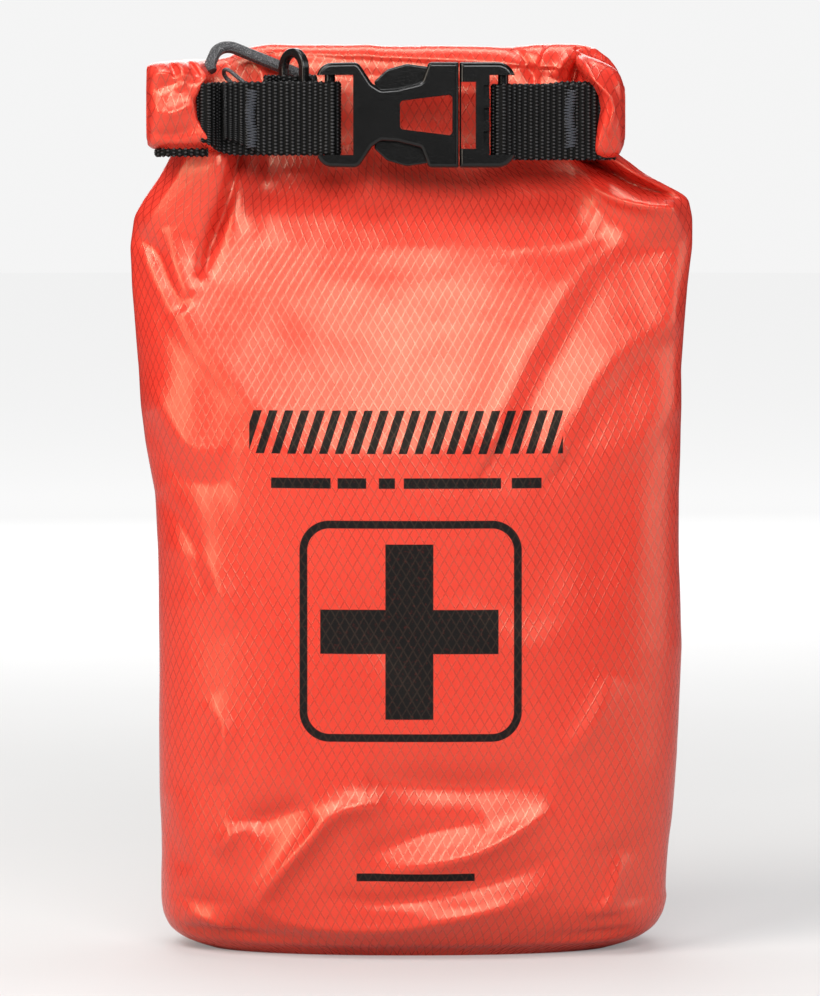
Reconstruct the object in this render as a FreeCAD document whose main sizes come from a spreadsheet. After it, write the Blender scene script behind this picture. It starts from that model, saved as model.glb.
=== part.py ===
import FreeCAD, Part
import math
import os
import re

import Sketcher

# A roll-top waterproof first aid bag, packed and closed.
#
# The bag stands on its oval base with the base's centre at the origin: +Z is up and the front faces -Y.
# Its mouth is rolled down at the top, the two ends of the roll are folded forwards, and a side-release
# buckle joins them. An oval ring and a small wire-gate carabiner hang behind the left strap.

DIMENSIONS = {
    # bag
    "bag_half_width": 86.0,
    "bag_half_depth": 38.0,
    "bag_height": 257.5,
    "cloth_wall": 1.0,
    "base_thickness": 1.2,
    "tape_width": 10.0,
    "tape_thickness": 0.4,
    # roll
    "roll_left": 84.5,
    "roll_right": 69.0,
    "roll_front": -1.8,
    "roll_back": 17.0,
    "roll_bottom": 260.0,
    "roll_top": 294.6,
    "roll_rounding": 9.0,
    "fold_front": -27.0,
    "left_fold_edge": 67.0,
    "left_fold_top": 286.4,
    "right_fold_edge": 61.8,
    "fold_rounding": 6.5,
    "stiffener_thickness": 1.0,
    "stiffener_height": 20.0,
    "mouth_strip_thickness": 1.4,
    "pocket_gap": 0.2,
    # webbing
    "webbing_width": 24.4,
    "webbing_thickness": 1.4,
    "strap_centre": 271.8,
    "bartack_width": 3.0,
    "bartack_height": 19.0,
    "bartack_proud": 0.35,
    # buckle
    "buckle_plane": -22.0,
    "buckle_centre": 272.0,
    "buckle_thickness": 9.0,
    "buckle_half_height": 16.9,
    "bar_radius": 1.7,
    "bar_gap": 0.3,
    "female_bar_place": -25.7,
    "male_bar_place": 29.9,
    "strap_window": 12.8,
    "mouth_face": 15.6,
    "male_face": 15.9,
    "male_end": 33.9,
    "prong_thickness": 5.0,
    "prong_room": 5.6,
    # ring and its keeper
    "ring_width": 13.5,
    "ring_length": 27.6,
    "ring_thickness": 2.8,
    "ring_leg": 3.0,
    "ring_place_across": -37.5,
    "ring_place_forward": -14.1,
    "ring_place_up": 279.8,
    "ring_turn": -50.0,
    "keeper_width": 8.0,
    "keeper_thickness": 1.2,
    "keeper_bottom": 276.8,
    # carabiner
    "carabiner_bar_width": 3.6,
    "carabiner_bar_thickness": 3.2,
    "carabiner_arc": 8.5,
    "carabiner_spine": 22.4,
    "carabiner_arm": 7.0,
    "carabiner_slope": 22.0,
    "carabiner_lean": 35.0,
    "gate_wire_radius": 0.65,
    "gate_half_gap": 2.45,
    "gate_length": 19.2,
    "gate_angle": 158.5,
    "gate_wire_end": 1.1,
    "gate_pin_radius": 0.6,
    "gate_pin_inset": 1.9,
    "gate_pin_clearance": 0.1,
}

# Cross-sections of the filled bag from the base up: the share of its height, of its half width and of
# its half depth, then how far the centre lies to the right and to the back.
BAG_SECTIONS = (
    (0.000, 0.767, 0.632, 0.0, 0.0),
    (0.012, 0.850, 0.790, 0.0, 0.0),
    (0.031, 0.918, 0.895, 0.5, 0.0),
    (0.066, 0.953, 0.974, 1.0, 0.0),
    (0.155, 0.972, 1.010, 1.6, 0.0),
    (0.272, 0.988, 1.000, 2.4, 0.0),
    (0.427, 1.000, 0.974, 2.8, 0.0),
    (0.583, 1.002, 0.947, 1.8, 0.0),
    (0.718, 1.028, 0.880, 0.2, 0.0),
    (0.823, 1.052, 0.790, -0.6, 0.4),
    (0.893, 1.062, 0.658, 0.0, 1.4),
    (0.948, 1.038, 0.447, 1.2, 3.6),
    (0.975, 0.975, 0.330, 0.2, 5.4),
    (1.000, 0.872, 0.211, -4.0, 7.0),
)

doc = FreeCAD.newDocument("first_aid_bag")
sheet = doc.addObject("Spreadsheet::Sheet", "Dimensions")
parts = {}


# ---------------------------------------------------------------- tools of the drawing board

def fill_sheet():
    """Write every driving dimension into the sheet, one row each, and name its cell."""
    for row, (name, amount) in enumerate(DIMENSIONS.items(), start=1):
        sheet.set(f"A{row}", name)
        sheet.set(f"B{row}", str(amount))
        sheet.setAlias(f"B{row}", name)
    doc.recompute()


def formula(text):
    """Turn dimension names in a formula into references to their cells."""
    def cell(match):
        word = match.group()
        return f"Dimensions.{word}" if word in DIMENSIONS else word
    return re.sub(r"[A-Za-z]\w*", cell, str(text))


def amount_of(text):
    """The present value of a formula of dimension names."""
    return float(sheet.evalExpression(formula(text)))


def bind(thing, **formulas):
    """Bind properties of an object to formulas of dimension names."""
    for name, text in formulas.items():
        thing.setExpression(name, formula(text))


def place(thing, across="0", forward="0", up="0"):
    """Bind where an object stands."""
    for axis, text in zip("xyz", (across, forward, up)):
        thing.setExpression(f"Placement.Base.{axis}", formula(text))


def keep(thing, label):
    """Give a finished sub-part its own name."""
    thing.Label = label
    parts[label] = thing
    return thing


def box(name, length, width, height, across, forward, up):
    """A box by its three sizes and its lowest corner."""
    solid = doc.addObject("Part::Box", name)
    bind(solid, Length=length, Width=width, Height=height)
    place(solid, across, forward, up)
    return solid


def cylinder(name, radius, height, across, forward, up):
    """An upright cylinder by its lower centre."""
    solid = doc.addObject("Part::Cylinder", name)
    bind(solid, Radius=radius, Height=height)
    place(solid, across, forward, up)
    return solid


def cut(name, base, tool):
    """The base with the tool taken away."""
    result = doc.addObject("Part::Cut", name)
    result.Base = base
    result.Tool = tool
    return result


def group(name, solids):
    """Separate solids that share one node."""
    together = doc.addObject("Part::Compound", name)
    together.Links = solids
    return together


def rounded(name, base, radius):
    """Round every edge of a simple solid."""
    doc.recompute()
    result = doc.addObject("Part::Fillet", name)
    result.Base = base
    size = amount_of(radius)
    result.Edges = [(number + 1, size, size) for number in range(len(base.Shape.Edges))]
    return result


def origin_plane(body, role):
    return next(feature for feature in body.Origin.OriginFeatures if feature.Role == role)


def outline(body, name, role, corners):
    """A closed outline of straight sides on one of the body's own planes; each corner is two formulas."""
    sketch = body.newObject("Sketcher::SketchObject", name)
    sketch.AttachmentSupport = [(origin_plane(body, role), "")]
    sketch.MapMode = "FlatFace"
    places = [(amount_of(across), amount_of(up)) for across, up in corners]
    count = len(places)
    for number, start in enumerate(places):
        end = places[(number + 1) % count]
        sketch.addGeometry(Part.LineSegment(FreeCAD.Vector(*start, 0), FreeCAD.Vector(*end, 0)))
    for number in range(count):
        sketch.addConstraint(Sketcher.Constraint("Coincident", number, 2, (number + 1) % count, 1))
    for number, (corner, (across, up)) in enumerate(zip(corners, places)):
        for kind, text, amount in (("DistanceX", corner[0], across), ("DistanceY", corner[1], up)):
            held = sketch.addConstraint(Sketcher.Constraint(kind, -1, 1, number, 1, amount))
            sketch.setExpression(f"Constraints[{held}]", formula(text))
    return sketch


def disc(body, name, role, across, up, radius):
    """A circle on one of the body's own planes."""
    sketch = body.newObject("Sketcher::SketchObject", name)
    sketch.AttachmentSupport = [(origin_plane(body, role), "")]
    sketch.MapMode = "FlatFace"
    centre = FreeCAD.Vector(amount_of(across), amount_of(up), 0)
    sketch.addGeometry(Part.Circle(centre, FreeCAD.Vector(0, 0, 1), amount_of(radius)))
    sizes = (("DistanceX", across, centre.x), ("DistanceY", up, centre.y))
    for kind, text, amount in sizes:
        held = sketch.addConstraint(Sketcher.Constraint(kind, -1, 1, 0, 3, amount))
        sketch.setExpression(f"Constraints[{held}]", formula(text))
    held = sketch.addConstraint(Sketcher.Constraint("Radius", 0, amount_of(radius)))
    sketch.setExpression(f"Constraints[{held}]", formula(radius))
    return sketch


def rectangle(left, right, low, high):
    return [(left, low), (right, low), (right, high), (left, high)]


def mirrored(corners):
    """An outline's upper half and its image below the middle line."""
    return list(corners) + [(across, f"-({up})") for across, up in reversed(corners)]


def upside_down(corners):
    return [(across, f"-({up})") for across, up in corners]


def pad(body, sketch, length):
    """Thicken a sketch evenly to both sides."""
    feature = body.newObject("PartDesign::Pad", f"{sketch.Name}_pad")
    feature.Profile = sketch
    feature.SideType = "Symmetric"
    bind(feature, Length=length)
    doc.recompute()
    return feature


def pocket(body, sketch, length):
    """Cut a sketch out evenly to both sides, and make sure that it cut."""
    before = body.Shape.Volume
    feature = body.newObject("PartDesign::Pocket", f"{sketch.Name}_pocket")
    feature.Profile = sketch
    feature.SideType = "Symmetric"
    bind(feature, Length=length)
    doc.recompute()
    if body.Shape.Volume > before - 0.01:
        raise RuntimeError(f"{sketch.Name} cut nothing")
    return feature


def round_corners(body, feature, corners, radius, role="XZ"):
    """Round the edges that stand on the given corners of an outline."""
    wanted = []
    for across, up in corners:
        for number, edge in enumerate(feature.Shape.Edges, start=1):
            middle = edge.CenterOfMass
            second = middle.z if role == "XZ" else middle.y
            close = abs(middle.x - amount_of(across)) < 0.01 and abs(second - amount_of(up)) < 0.01
            if close and len(edge.Vertexes) == 2:
                wanted.append(f"Edge{number}")
    return fillet(body, feature, wanted, radius)


def fillet(body, feature, edges, radius):
    result = body.newObject("PartDesign::Fillet", f"{feature.Name}_round")
    result.Base = (feature, edges)
    bind(result, Radius=radius)
    doc.recompute()
    return result


def rims(feature, half_thickness, axis="y"):
    """Names of the edges that lie in the two flat faces of a thickened outline."""
    found = []
    for number, edge in enumerate(feature.Shape.Edges, start=1):
        box_of_edge = edge.BoundBox
        low, high = getattr(box_of_edge, f"{axis.upper()}Min"), getattr(box_of_edge, f"{axis.upper()}Max")
        if high - low < 0.01 and abs(abs(low) - half_thickness) < 0.01:
            found.append(f"Edge{number}")
    return found


# ---------------------------------------------------------------- the bag and its base

def bag_loft(name, inset, reach):
    """A solid through the bag's sections, drawn in by the inset and run on at the top by the reach."""
    ovals = []
    last = len(BAG_SECTIONS) - 1
    for number, (height, width, depth, right, back) in enumerate(BAG_SECTIONS):
        oval = doc.addObject("Part::Ellipse", f"{name}_oval")
        bind(oval, MajorRadius=f"bag_half_width * {width} - ({inset})",
             MinorRadius=f"bag_half_depth * {depth} - ({inset})")
        beyond = reach if number == last else 0
        place(oval, f"{right}", f"{back}", f"bag_height * {height} + {beyond}")
        ovals.append(oval)
    loft = doc.addObject("Part::Loft", name)
    loft.Sections = ovals
    loft.Solid = True
    return loft


def body_panel():
    """The coated cloth tube, open at both ends."""
    outer = bag_loft("panel_outside", "0", 0)
    inner = bag_loft("panel_inside", "cloth_wall", 1)
    keep(cut("panel_shell", outer, inner), "body_panel")


def oval_plate(name, inset, thickness, up):
    """A flat plate of the base's shape."""
    width, depth = BAG_SECTIONS[0][1:3]
    oval = doc.addObject("Part::Ellipse", f"{name}_edge")
    bind(oval, MajorRadius=f"bag_half_width * {width} - ({inset})",
         MinorRadius=f"bag_half_depth * {depth} - ({inset})")
    place(oval, up=up)
    plate = doc.addObject("Part::Extrusion", name)
    plate.Base = oval
    plate.DirMode = "Custom"
    plate.Dir = FreeCAD.Vector(0, 0, 1)
    plate.Solid = True
    bind(plate, LengthFwd=thickness)
    return plate


def base():
    """The oval base and the tape that seals its seam from inside."""
    keep(oval_plate("base_plate", "cloth_wall", "base_thickness", "0"), "base_panel")
    tape = oval_plate("tape_outside", "cloth_wall + 0.6", "tape_thickness", "base_thickness")
    hole = oval_plate("tape_inside", "cloth_wall + tape_width", "2 * tape_thickness",
                      "base_thickness - 0.2")
    keep(cut("tape_ring", tape, hole), "base_seam_tape")


def back_seam_tape():
    """The tape over the cloth's upright seam, inside the middle of the back."""
    low, high = 0.155, 0.718
    strip = box("seam_strip", "tape_width", "tape_thickness", f"bag_height * {high - low}",
                "-tape_width / 2", "bag_half_depth * 0.80", f"bag_height * {low}")
    keep(strip, "back_seam_tape")


# ---------------------------------------------------------------- what the bag holds

def pouch(label, length, width, height, across, forward, up, rounding):
    """A soft flat packet with rounded edges."""
    packet = box(f"{label}_block", length, width, height, across, forward, up)
    keep(rounded(f"{label}_soft", packet, rounding), label)


def rolls():
    """Two gauze rolls either side of an elastic bandage."""
    gauze = [cylinder("gauze_roll", "19", "58", side, "0", "76") for side in ("-57", "59")]
    keep(group("gauze_pair", gauze), "gauze_rolls")
    keep(cylinder("elastic_roll", "23", "62", "1", "0", "76"), "elastic_bandage")


def tape_spool():
    """A roll of medical tape on its paper core."""
    turns = cylinder("tape_turns", "24", "13", "-44", "0", "142")
    hub = cylinder("tape_hub", "12", "15", "-44", "0", "141")
    keep(cut("tape_winding", turns, hub), "tape_roll")
    core = cylinder("core_outside", "11.8", "13", "-44", "0", "142")
    bore = cylinder("core_bore", "10.6", "15", "-44", "0", "141")
    keep(cut("core_tube", core, bore), "tape_core")


def stack(label, count, length, width, height, across, forward, up, step):
    """Flat packets that stand one behind the other."""
    packets = [box(f"{label}_packet", length, width, height, across, f"{forward} + {number} * {step}", up)
               for number in range(count)]
    keep(group(f"{label}_stack", packets), label)


def contents():
    pouch("bandage_carton", "96", "19", "64", "-48", "-22.5", "7", "1.2")
    stack("gauze_pads", 6, "76", "2.6", "64", "-38", "0", "7", 3)
    rolls()
    pouch("gloves_pouch", "78", "5", "54", "-38", "-31.5", "80", "2.2")
    pouch("blanket_pouch", "78", "5.5", "58", "-38", "24.5", "78", "2.4")
    tape_spool()
    stack("wipe_sachets", 8, "46", "1.6", "32", "26", "-8", "142", 2)
    pouch("triangular_bandage", "36", "34", "30", "-16", "-17", "143", "7")


# ---------------------------------------------------------------- the rolled mouth

def rolled_collar():
    """The rolled mouth with both ends folded forwards, and the slot through the middle of the roll."""
    bar = box("roll_bar", "roll_left + roll_right", "roll_back - roll_front", "roll_top - roll_bottom",
              "-roll_left", "roll_front", "roll_bottom")
    left = box("left_fold", "roll_left - left_fold_edge", "roll_back - fold_front - 4",
               "left_fold_top - roll_bottom - 0.8", "-roll_left", "fold_front", "roll_bottom + 0.8")
    right = box("right_fold", "roll_right - right_fold_edge", "roll_back - fold_front - 4",
                "roll_top - roll_bottom - 6", "right_fold_edge", "fold_front", "roll_bottom")
    soft = [rounded("roll_bar_soft", bar, "roll_rounding"),
            rounded("left_fold_soft", left, "fold_rounding"),
            rounded("right_fold_soft", right, "3.3")]
    whole = doc.addObject("Part::MultiFuse", "roll_whole")
    whole.Shapes = soft
    slot = box("roll_slot", "roll_left + roll_right + 20",
               "2 * stiffener_thickness + mouth_strip_thickness + 4 * pocket_gap",
               "stiffener_height + 2 * pocket_gap", "-roll_left - 10",
               "(roll_front + roll_back) / 2 - 2.1", "strap_centre + 5.4 - stiffener_height / 2")
    keep(cut("roll_with_slot", whole, slot), "rolled_collar")


def strip_in_roll(name, thickness, place_in_slot, shorter):
    """A strip that lies along the slot of the roll."""
    return box(name, f"roll_left + roll_right - {shorter}", thickness, "stiffener_height",
               f"-roll_left + {shorter} / 2", f"(roll_front + roll_back) / 2 - 2.1 + {place_in_slot}",
               "strap_centre + 5.4 + pocket_gap - stiffener_height / 2")


def mouth_strips():
    """Two stiffeners that keep the mouth flat, and the webbing sewn along it between them."""
    keep(strip_in_roll("stiffener_one", "stiffener_thickness", "pocket_gap", 24), "front_stiffener")
    behind = "3 * pocket_gap + stiffener_thickness + mouth_strip_thickness"
    keep(strip_in_roll("stiffener_two", "stiffener_thickness", behind, 24), "back_stiffener")
    inside = strip_in_roll("webbing_in_roll", "mouth_strip_thickness",
                           "2 * pocket_gap + stiffener_thickness", 8)
    turned = box("webbing_turned", "14", "12", "1.9", "-81.5", "fold_front + 2.5", "roll_bottom - 1.3")
    keep(group("mouth_webbing_runs", [inside, turned]), "mouth_webbing")


# ---------------------------------------------------------------- straps

def strap(label, bar, side, wide_to, sewn, loose_end):
    """A strap doubled round a buckle bar and sewn, with the open loop beyond the sewing.

    side is 1 where the strap runs to the right of its bar and -1 where it runs to the left; the other
    places are distances from the bar."""
    body = doc.addObject("PartDesign::Body", f"{label}_body")
    flat = "webbing_thickness"
    around = "(bar_radius + bar_gap + webbing_thickness)"
    bow = "1.25 * webbing_thickness"

    def at(distance):
        return f"{side} * ({distance})"

    half = [(at(f"-{around}"), around), (at("1.6"), around), (at(wide_to), flat),
            (at(f"{sewn} + 2"), flat), (at(f"{loose_end} - 6"), f"{bow} + {flat}"),
            (at(loose_end), f"{bow} + {flat} - 0.6")]
    pad(body, outline(body, f"{label}_side", "XY_Plane", mirrored(half)), "webbing_width")
    eye = mirrored([(at("-(bar_radius + bar_gap)"), "bar_radius + bar_gap"),
                    (at("1.2"), "bar_radius + bar_gap"), (at(f"{wide_to} - 0.8"), "0.1")])
    pocket(body, outline(body, f"{label}_eye", "XY_Plane", eye), "webbing_width + 2")
    loop = mirrored([(at(f"{sewn} + 2.6"), "0.1"), (at(f"{loose_end} - 5.4"), bow),
                     (at(f"{loose_end} - 1.4"), f"{bow} - 0.7")])
    pocket(body, outline(body, f"{label}_loop", "XY_Plane", loop), "webbing_width + 2")
    corner = (at(f"-{around}"), around)
    ends = [corner, (corner[0], f"-({corner[1]})")]
    round_corners(body, body.Tip, ends, f"{around} - 0.1", role="XY")
    inner = (at("-(bar_radius + bar_gap)"), "bar_radius + bar_gap")
    inner_ends = [inner, (inner[0], f"-({inner[1]})")]
    round_corners(body, body.Tip, inner_ends, "bar_radius + bar_gap - 0.1", role="XY")
    place(body, bar, "buckle_plane", "strap_centre")
    keep(body, label)


def bartack(label, across):
    """The dense sewing through both layers, a little proud of each face."""
    faces = [box(f"{label}_face", "bartack_width", "bartack_proud", "bartack_height",
                 f"{across} - bartack_width / 2", forward, "strap_centre - bartack_height / 2")
             for forward in ("buckle_plane - webbing_thickness - bartack_proud",
                             "buckle_plane + webbing_thickness")]
    keep(group(f"{label}_pair", faces), label)


def straps():
    strap("left_strap", "female_bar_place", -1, "3.8", "25.3", "41.2")
    strap("right_strap", "male_bar_place", 1, "3.8", "21.5", "31.8")
    bartack("left_bartack", "-51")
    bartack("right_bartack", "51.4")


# ---------------------------------------------------------------- side-release buckle

def soften(body, half_thickness, radius):
    """Round the front and back rims of a thickened outline."""
    fillet(body, body.Tip, rims(body.Tip, half_thickness), radius)


def bar_between_ears(body, name, across):
    """The round bar that a strap is doubled around."""
    return pad(body, disc(body, name, "XY_Plane", across, "0", "bar_radius"), "2 * strap_window + 1")


def buckle_female():
    """The socket half: strap bar, two side dips where the prongs show, and the mouth."""
    body = doc.addObject("PartDesign::Body", "female_body")
    half = [("-29.9", "buckle_half_height - 0.3"), ("-16.6", "buckle_half_height"), ("-12.2", "10.2"),
            ("-9.2", "8.3"), ("-3.9", "8.7"), ("3.6", "10.6"), ("6", "buckle_half_height"),
            ("mouth_face", "buckle_half_height")]
    pad(body, outline(body, "female_outline", "XZ_Plane", mirrored(half)), "buckle_thickness")
    for corners, radius in (([half[0]], "5"), ([half[1]], "3"), ([half[2], half[3]], "2"),
                            ([half[5], half[6]], "1.5"), ([half[7]], "0.6")):
        round_corners(body, body.Tip, corners + upside_down(corners), radius)
    soften(body, amount_of("buckle_thickness") / 2, "1.3")
    gap = rectangle("-31", "-18.2", "-strap_window", "strap_window")
    pocket(body, outline(body, "strap_gap", "XZ_Plane", gap), "buckle_thickness + 2")
    window = mirrored([("-3.2", "4.5"), ("13.6", "6.6")])
    pocket(body, outline(body, "window", "XZ_Plane", window), "buckle_thickness + 2")
    window_corners = [("-3.2", "4.5"), ("-3.2", "-4.5"), ("13.6", "6.6"), ("13.6", "-6.6")]
    round_corners(body, body.Tip, window_corners, "1.2")
    room = [("mouth_face + 1", "8.6"), ("6.5", "7.8"), ("-13", "4.2"), ("-13", "20"), ("6.5", "20"),
            ("6.5", "12.4"), ("mouth_face + 1", "12.4")]
    pocket(body, outline(body, "upper_room", "XZ_Plane", room), "prong_room")
    pocket(body, outline(body, "lower_room", "XZ_Plane", upside_down(room)), "prong_room")
    bar_between_ears(body, "female_bar", "female_bar_place")
    place(body, forward="buckle_plane", up="buckle_centre")
    keep(body, "buckle_female")


def buckle_male():
    """The plug half's frame: rim, toothed cross bar with a web between its teeth, and strap bar."""
    body = doc.addObject("PartDesign::Body", "male_body")
    half = [("male_face", "buckle_half_height"), ("male_end", "buckle_half_height")]
    pad(body, outline(body, "male_outline", "XZ_Plane", mirrored(half)), "buckle_thickness")
    for corners, radius in (([half[0]], "0.6"), ([half[1]], "6")):
        round_corners(body, body.Tip, corners + upside_down(corners), radius)
    soften(body, amount_of("buckle_thickness") / 2, "1.5")
    opening = rectangle("16.4", "21.1", "-10.8", "10.6")
    pocket(body, outline(body, "male_opening", "XZ_Plane", opening), "buckle_thickness + 2")
    gap = rectangle("25.5", "male_end + 1", "-strap_window", "strap_window")
    pocket(body, outline(body, "male_strap_gap", "XZ_Plane", gap), "buckle_thickness + 2")
    for number in (-1, 0, 1):
        tooth = rectangle("23.6", "26", f"{number} * 7.4 - 2.2", f"{number} * 7.4 + 2.2")
        pocket(body, outline(body, f"tooth_gap_{number + 2}", "XZ_Plane", tooth), "buckle_thickness + 2")
    web = rectangle("22.6", "25.4", "-11", "11")
    pad(body, outline(body, "tooth_web", "XZ_Plane", web), "buckle_thickness - 2.8")
    bar_between_ears(body, "male_bar", "male_bar_place")
    place(body, forward="buckle_plane", up="buckle_centre")
    keep(body, "buckle_male")


def prong(label, turn_over):
    """A springy side prong: a slim arm with a head that is squeezed between finger and thumb."""
    body = doc.addObject("PartDesign::Body", f"{label}_body")
    shape = [("mouth_face", "9.5"), ("mouth_face", "11.9"), ("6.2", "11.9"), ("6", "15.4"),
             ("-1", "16.4"), ("-7.4", "14.6"), ("-11.6", "10.6"), ("-10.6", "7.7"), ("-3.9", "7.9"), ("4", "8.9")]
    corners = upside_down(shape) if turn_over else shape
    pad(body, outline(body, f"{label}_shape", "XZ_Plane", corners), "prong_thickness")
    for chosen, radius in ((corners[4:6], "4"), (corners[6:8], "1.2"), (corners[3:4], "0.8")):
        round_corners(body, body.Tip, chosen, radius)
    soften(body, amount_of("prong_thickness") / 2, "0.6")
    place(body, forward="buckle_plane", up="buckle_centre")
    keep(body, label)


# ---------------------------------------------------------------- ring, keeper and carabiner

def accessory_ring():
    """The oval moulded ring that stands up behind the left strap."""
    body = doc.addObject("PartDesign::Body", "ring_body")
    outside = rectangle("-ring_width / 2", "ring_width / 2", "-ring_length / 2", "ring_length / 2")
    pad(body, outline(body, "ring_outside", "XZ_Plane", outside), "ring_thickness")
    round_corners(body, body.Tip, outside, "ring_width / 2 - 0.05")
    reach, rise = "(ring_width / 2 - ring_leg)", "(ring_length / 2 - ring_leg)"
    inside = rectangle(f"-{reach}", reach, f"-{rise}", rise)
    pocket(body, outline(body, "ring_inside", "XZ_Plane", inside), "ring_thickness + 2")
    round_corners(body, body.Tip, inside, "ring_width / 2 - ring_leg - 0.05")
    soften(body, amount_of("ring_thickness") / 2, "0.9")
    body.setExpression("Placement", formula(
        "create(<<placement>>; create(<<vector>>; ring_place_across; ring_place_forward; ring_place_up);"
        " create(<<rotation>>; ring_turn; 0; 0))"))
    keep(body, "accessory_ring")


def ring_keeper():
    """The narrow webbing band, sewn behind the left strap, that runs through the ring."""
    body = doc.addObject("PartDesign::Body", "keeper_body")
    back = "buckle_plane + webbing_thickness"
    middle = "ring_place_forward"
    half = "keeper_thickness / 2"
    run = [("-47.2", back), ("-43.2", f"{middle} + {half}"), ("-30", f"{middle} + {half}"),
           ("-30", back), ("-30 - keeper_thickness", back),
           ("-30 - keeper_thickness", f"{middle} - {half}"), ("-42.5", f"{middle} - {half}"),
           ("-45.8", back)]
    pad(body, outline(body, "keeper_run", "XY_Plane", run), "keeper_width")
    place(body, up="keeper_bottom + keeper_width / 2")
    keep(body, "ring_keeper")


def carabiner_path(sketch):
    """The middle line of the carabiner's bar, from the gate's pin round to the nose, in its own plane."""
    arm, arc, spine = (amount_of(f"carabiner_{part}") for part in ("arm", "arc", "spine"))
    bend, lip = 5.5, 5.0
    top = 2 * arc
    axis = FreeCAD.Vector(0, 0, 1)

    def point(across, up):
        return FreeCAD.Vector(across, up, 0)

    def turn(centre, radius, start, end):
        circle = Part.Circle(centre, axis, radius)
        return Part.ArcOfCircle(circle, math.radians(start), math.radians(end))

    left = arm - spine - bend
    nose = top - bend - 3.2
    sketch.addGeometry(Part.LineSegment(point(0, 0), point(arm, 0)))
    sketch.addGeometry(turn(point(arm, arc), arc, -90, 90))
    sketch.addGeometry(Part.LineSegment(point(arm, top), point(arm - spine, top)))
    sketch.addGeometry(turn(point(arm - spine, top - bend), bend, 90, 180))
    sketch.addGeometry(Part.LineSegment(point(left, top - bend), point(left, nose)))
    sketch.addGeometry(turn(point(left + lip, nose), lip, 180, 222))


def path_sketch(body, name, draw):
    sketch = body.newObject("Sketcher::SketchObject", name)
    sketch.AttachmentSupport = [(origin_plane(body, "XY_Plane"), "")]
    sketch.MapMode = "FlatFace"
    draw(sketch)
    doc.recompute()
    return sketch


def pipe(body, name, profile, path):
    feature = body.newObject("PartDesign::AdditivePipe", name)
    feature.Profile = profile
    feature.Spine = path
    doc.recompute()
    return feature


def carabiner_placement():
    """The carabiner slopes down to the right and leans back, so its own plane is turned twice."""
    return ("create(<<placement>>; create(<<vector>>; -47.5; -14.57; 274.93);"
            " create(<<rotation>>; 0; carabiner_slope; 90 - carabiner_lean))")


def carabiner():
    """The hook of the carabiner, with the hole for its wire gate."""
    body = doc.addObject("PartDesign::Body", "hook_body")
    wide, thick, bevel = "carabiner_bar_width / 2", "carabiner_bar_thickness / 2", "0.8"
    section = [(f"-{wide}", f"-({thick} - {bevel})"), (f"-({wide} - {bevel})", f"-{thick}"),
               (f"{wide} - {bevel}", f"-{thick}"), (wide, f"-({thick} - {bevel})"),
               (wide, f"{thick} - {bevel}"), (f"{wide} - {bevel}", thick),
               (f"-({wide} - {bevel})", thick), (f"-{wide}", f"{thick} - {bevel}")]
    profile = outline(body, "hook_section", "YZ_Plane", section)
    pipe(body, "hook_bar", profile, path_sketch(body, "hook_path", carabiner_path))
    hole = disc(body, "pin_hole", "XY_Plane", "gate_pin_inset", "0", "gate_pin_radius + gate_pin_clearance")
    pocket(body, hole, "carabiner_bar_thickness + 2")
    body.setExpression("Placement", formula(carabiner_placement()))
    keep(body, "carabiner_hook")


def gate_path(sketch):
    """One side of the wire, round the closed end, and back along the other side."""
    half, length = amount_of("gate_half_gap"), amount_of("gate_length")
    start, straight = -amount_of("gate_wire_end"), length - half
    circle = Part.Circle(FreeCAD.Vector(straight, 0, 0), FreeCAD.Vector(0, 0, 1), half)
    sketch.addGeometry(Part.LineSegment(FreeCAD.Vector(start, -half, 0), FreeCAD.Vector(straight, -half, 0)))
    sketch.addGeometry(Part.ArcOfCircle(circle, -math.pi / 2, math.pi / 2))
    sketch.addGeometry(Part.LineSegment(FreeCAD.Vector(straight, half, 0), FreeCAD.Vector(start, half, 0)))


def carabiner_gate():
    """The wire gate: a long wire loop whose pin turns in the hook."""
    body = doc.addObject("PartDesign::Body", "gate_body")
    profile = disc(body, "wire_section", "YZ_Plane", "-gate_half_gap", "0", "gate_wire_radius")
    pipe(body, "wire_loop", profile, path_sketch(body, "wire_path", gate_path))
    pin = disc(body, "pin_section", "XZ_Plane", "0", "0", "gate_pin_radius")
    pad(body, pin, "2 * gate_half_gap")
    turned = ("create(<<placement>>; create(<<vector>>; gate_pin_inset; 0; 0);"
              " create(<<rotation>>; gate_angle; 0; 90))")
    body.setExpression("Placement", formula(f"{carabiner_placement()} * {turned}"))
    keep(body, "carabiner_gate")


# ---------------------------------------------------------------- the whole kit

def check_document():
    """Stop if any object failed or any sub-part has no sound shape."""
    for thing in doc.Objects:
        if {"Invalid", "Error"} & set(thing.State):
            raise RuntimeError(f"{thing.Name} is {thing.State}")
    for label, thing in parts.items():
        if thing.Shape.isNull() or not thing.Shape.isValid() or thing.Shape.Volume <= 0:
            raise RuntimeError(f"{label} has no sound shape")


def main():
    fill_sheet()
    body_panel()
    base()
    back_seam_tape()
    contents()
    rolled_collar()
    mouth_strips()
    straps()
    buckle_female()
    buckle_male()
    prong("upper_prong", False)
    prong("lower_prong", True)
    accessory_ring()
    ring_keeper()
    carabiner()
    carabiner_gate()
    doc.recompute()
    check_document()
    os.makedirs("parts", exist_ok=True)
    for label, thing in parts.items():
        thing.Shape.exportStep(f"parts/{label}.step")
        reach = thing.Shape.BoundBox
        print(f"{label:20s} {thing.Shape.Volume / 1000:8.2f} cm3  "
              f"x {reach.XMin:7.1f} {reach.XMax:7.1f}  y {reach.YMin:6.1f} {reach.YMax:6.1f}  "
              f"z {reach.ZMin:6.1f} {reach.ZMax:6.1f}")


main()
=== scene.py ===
import math

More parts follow.
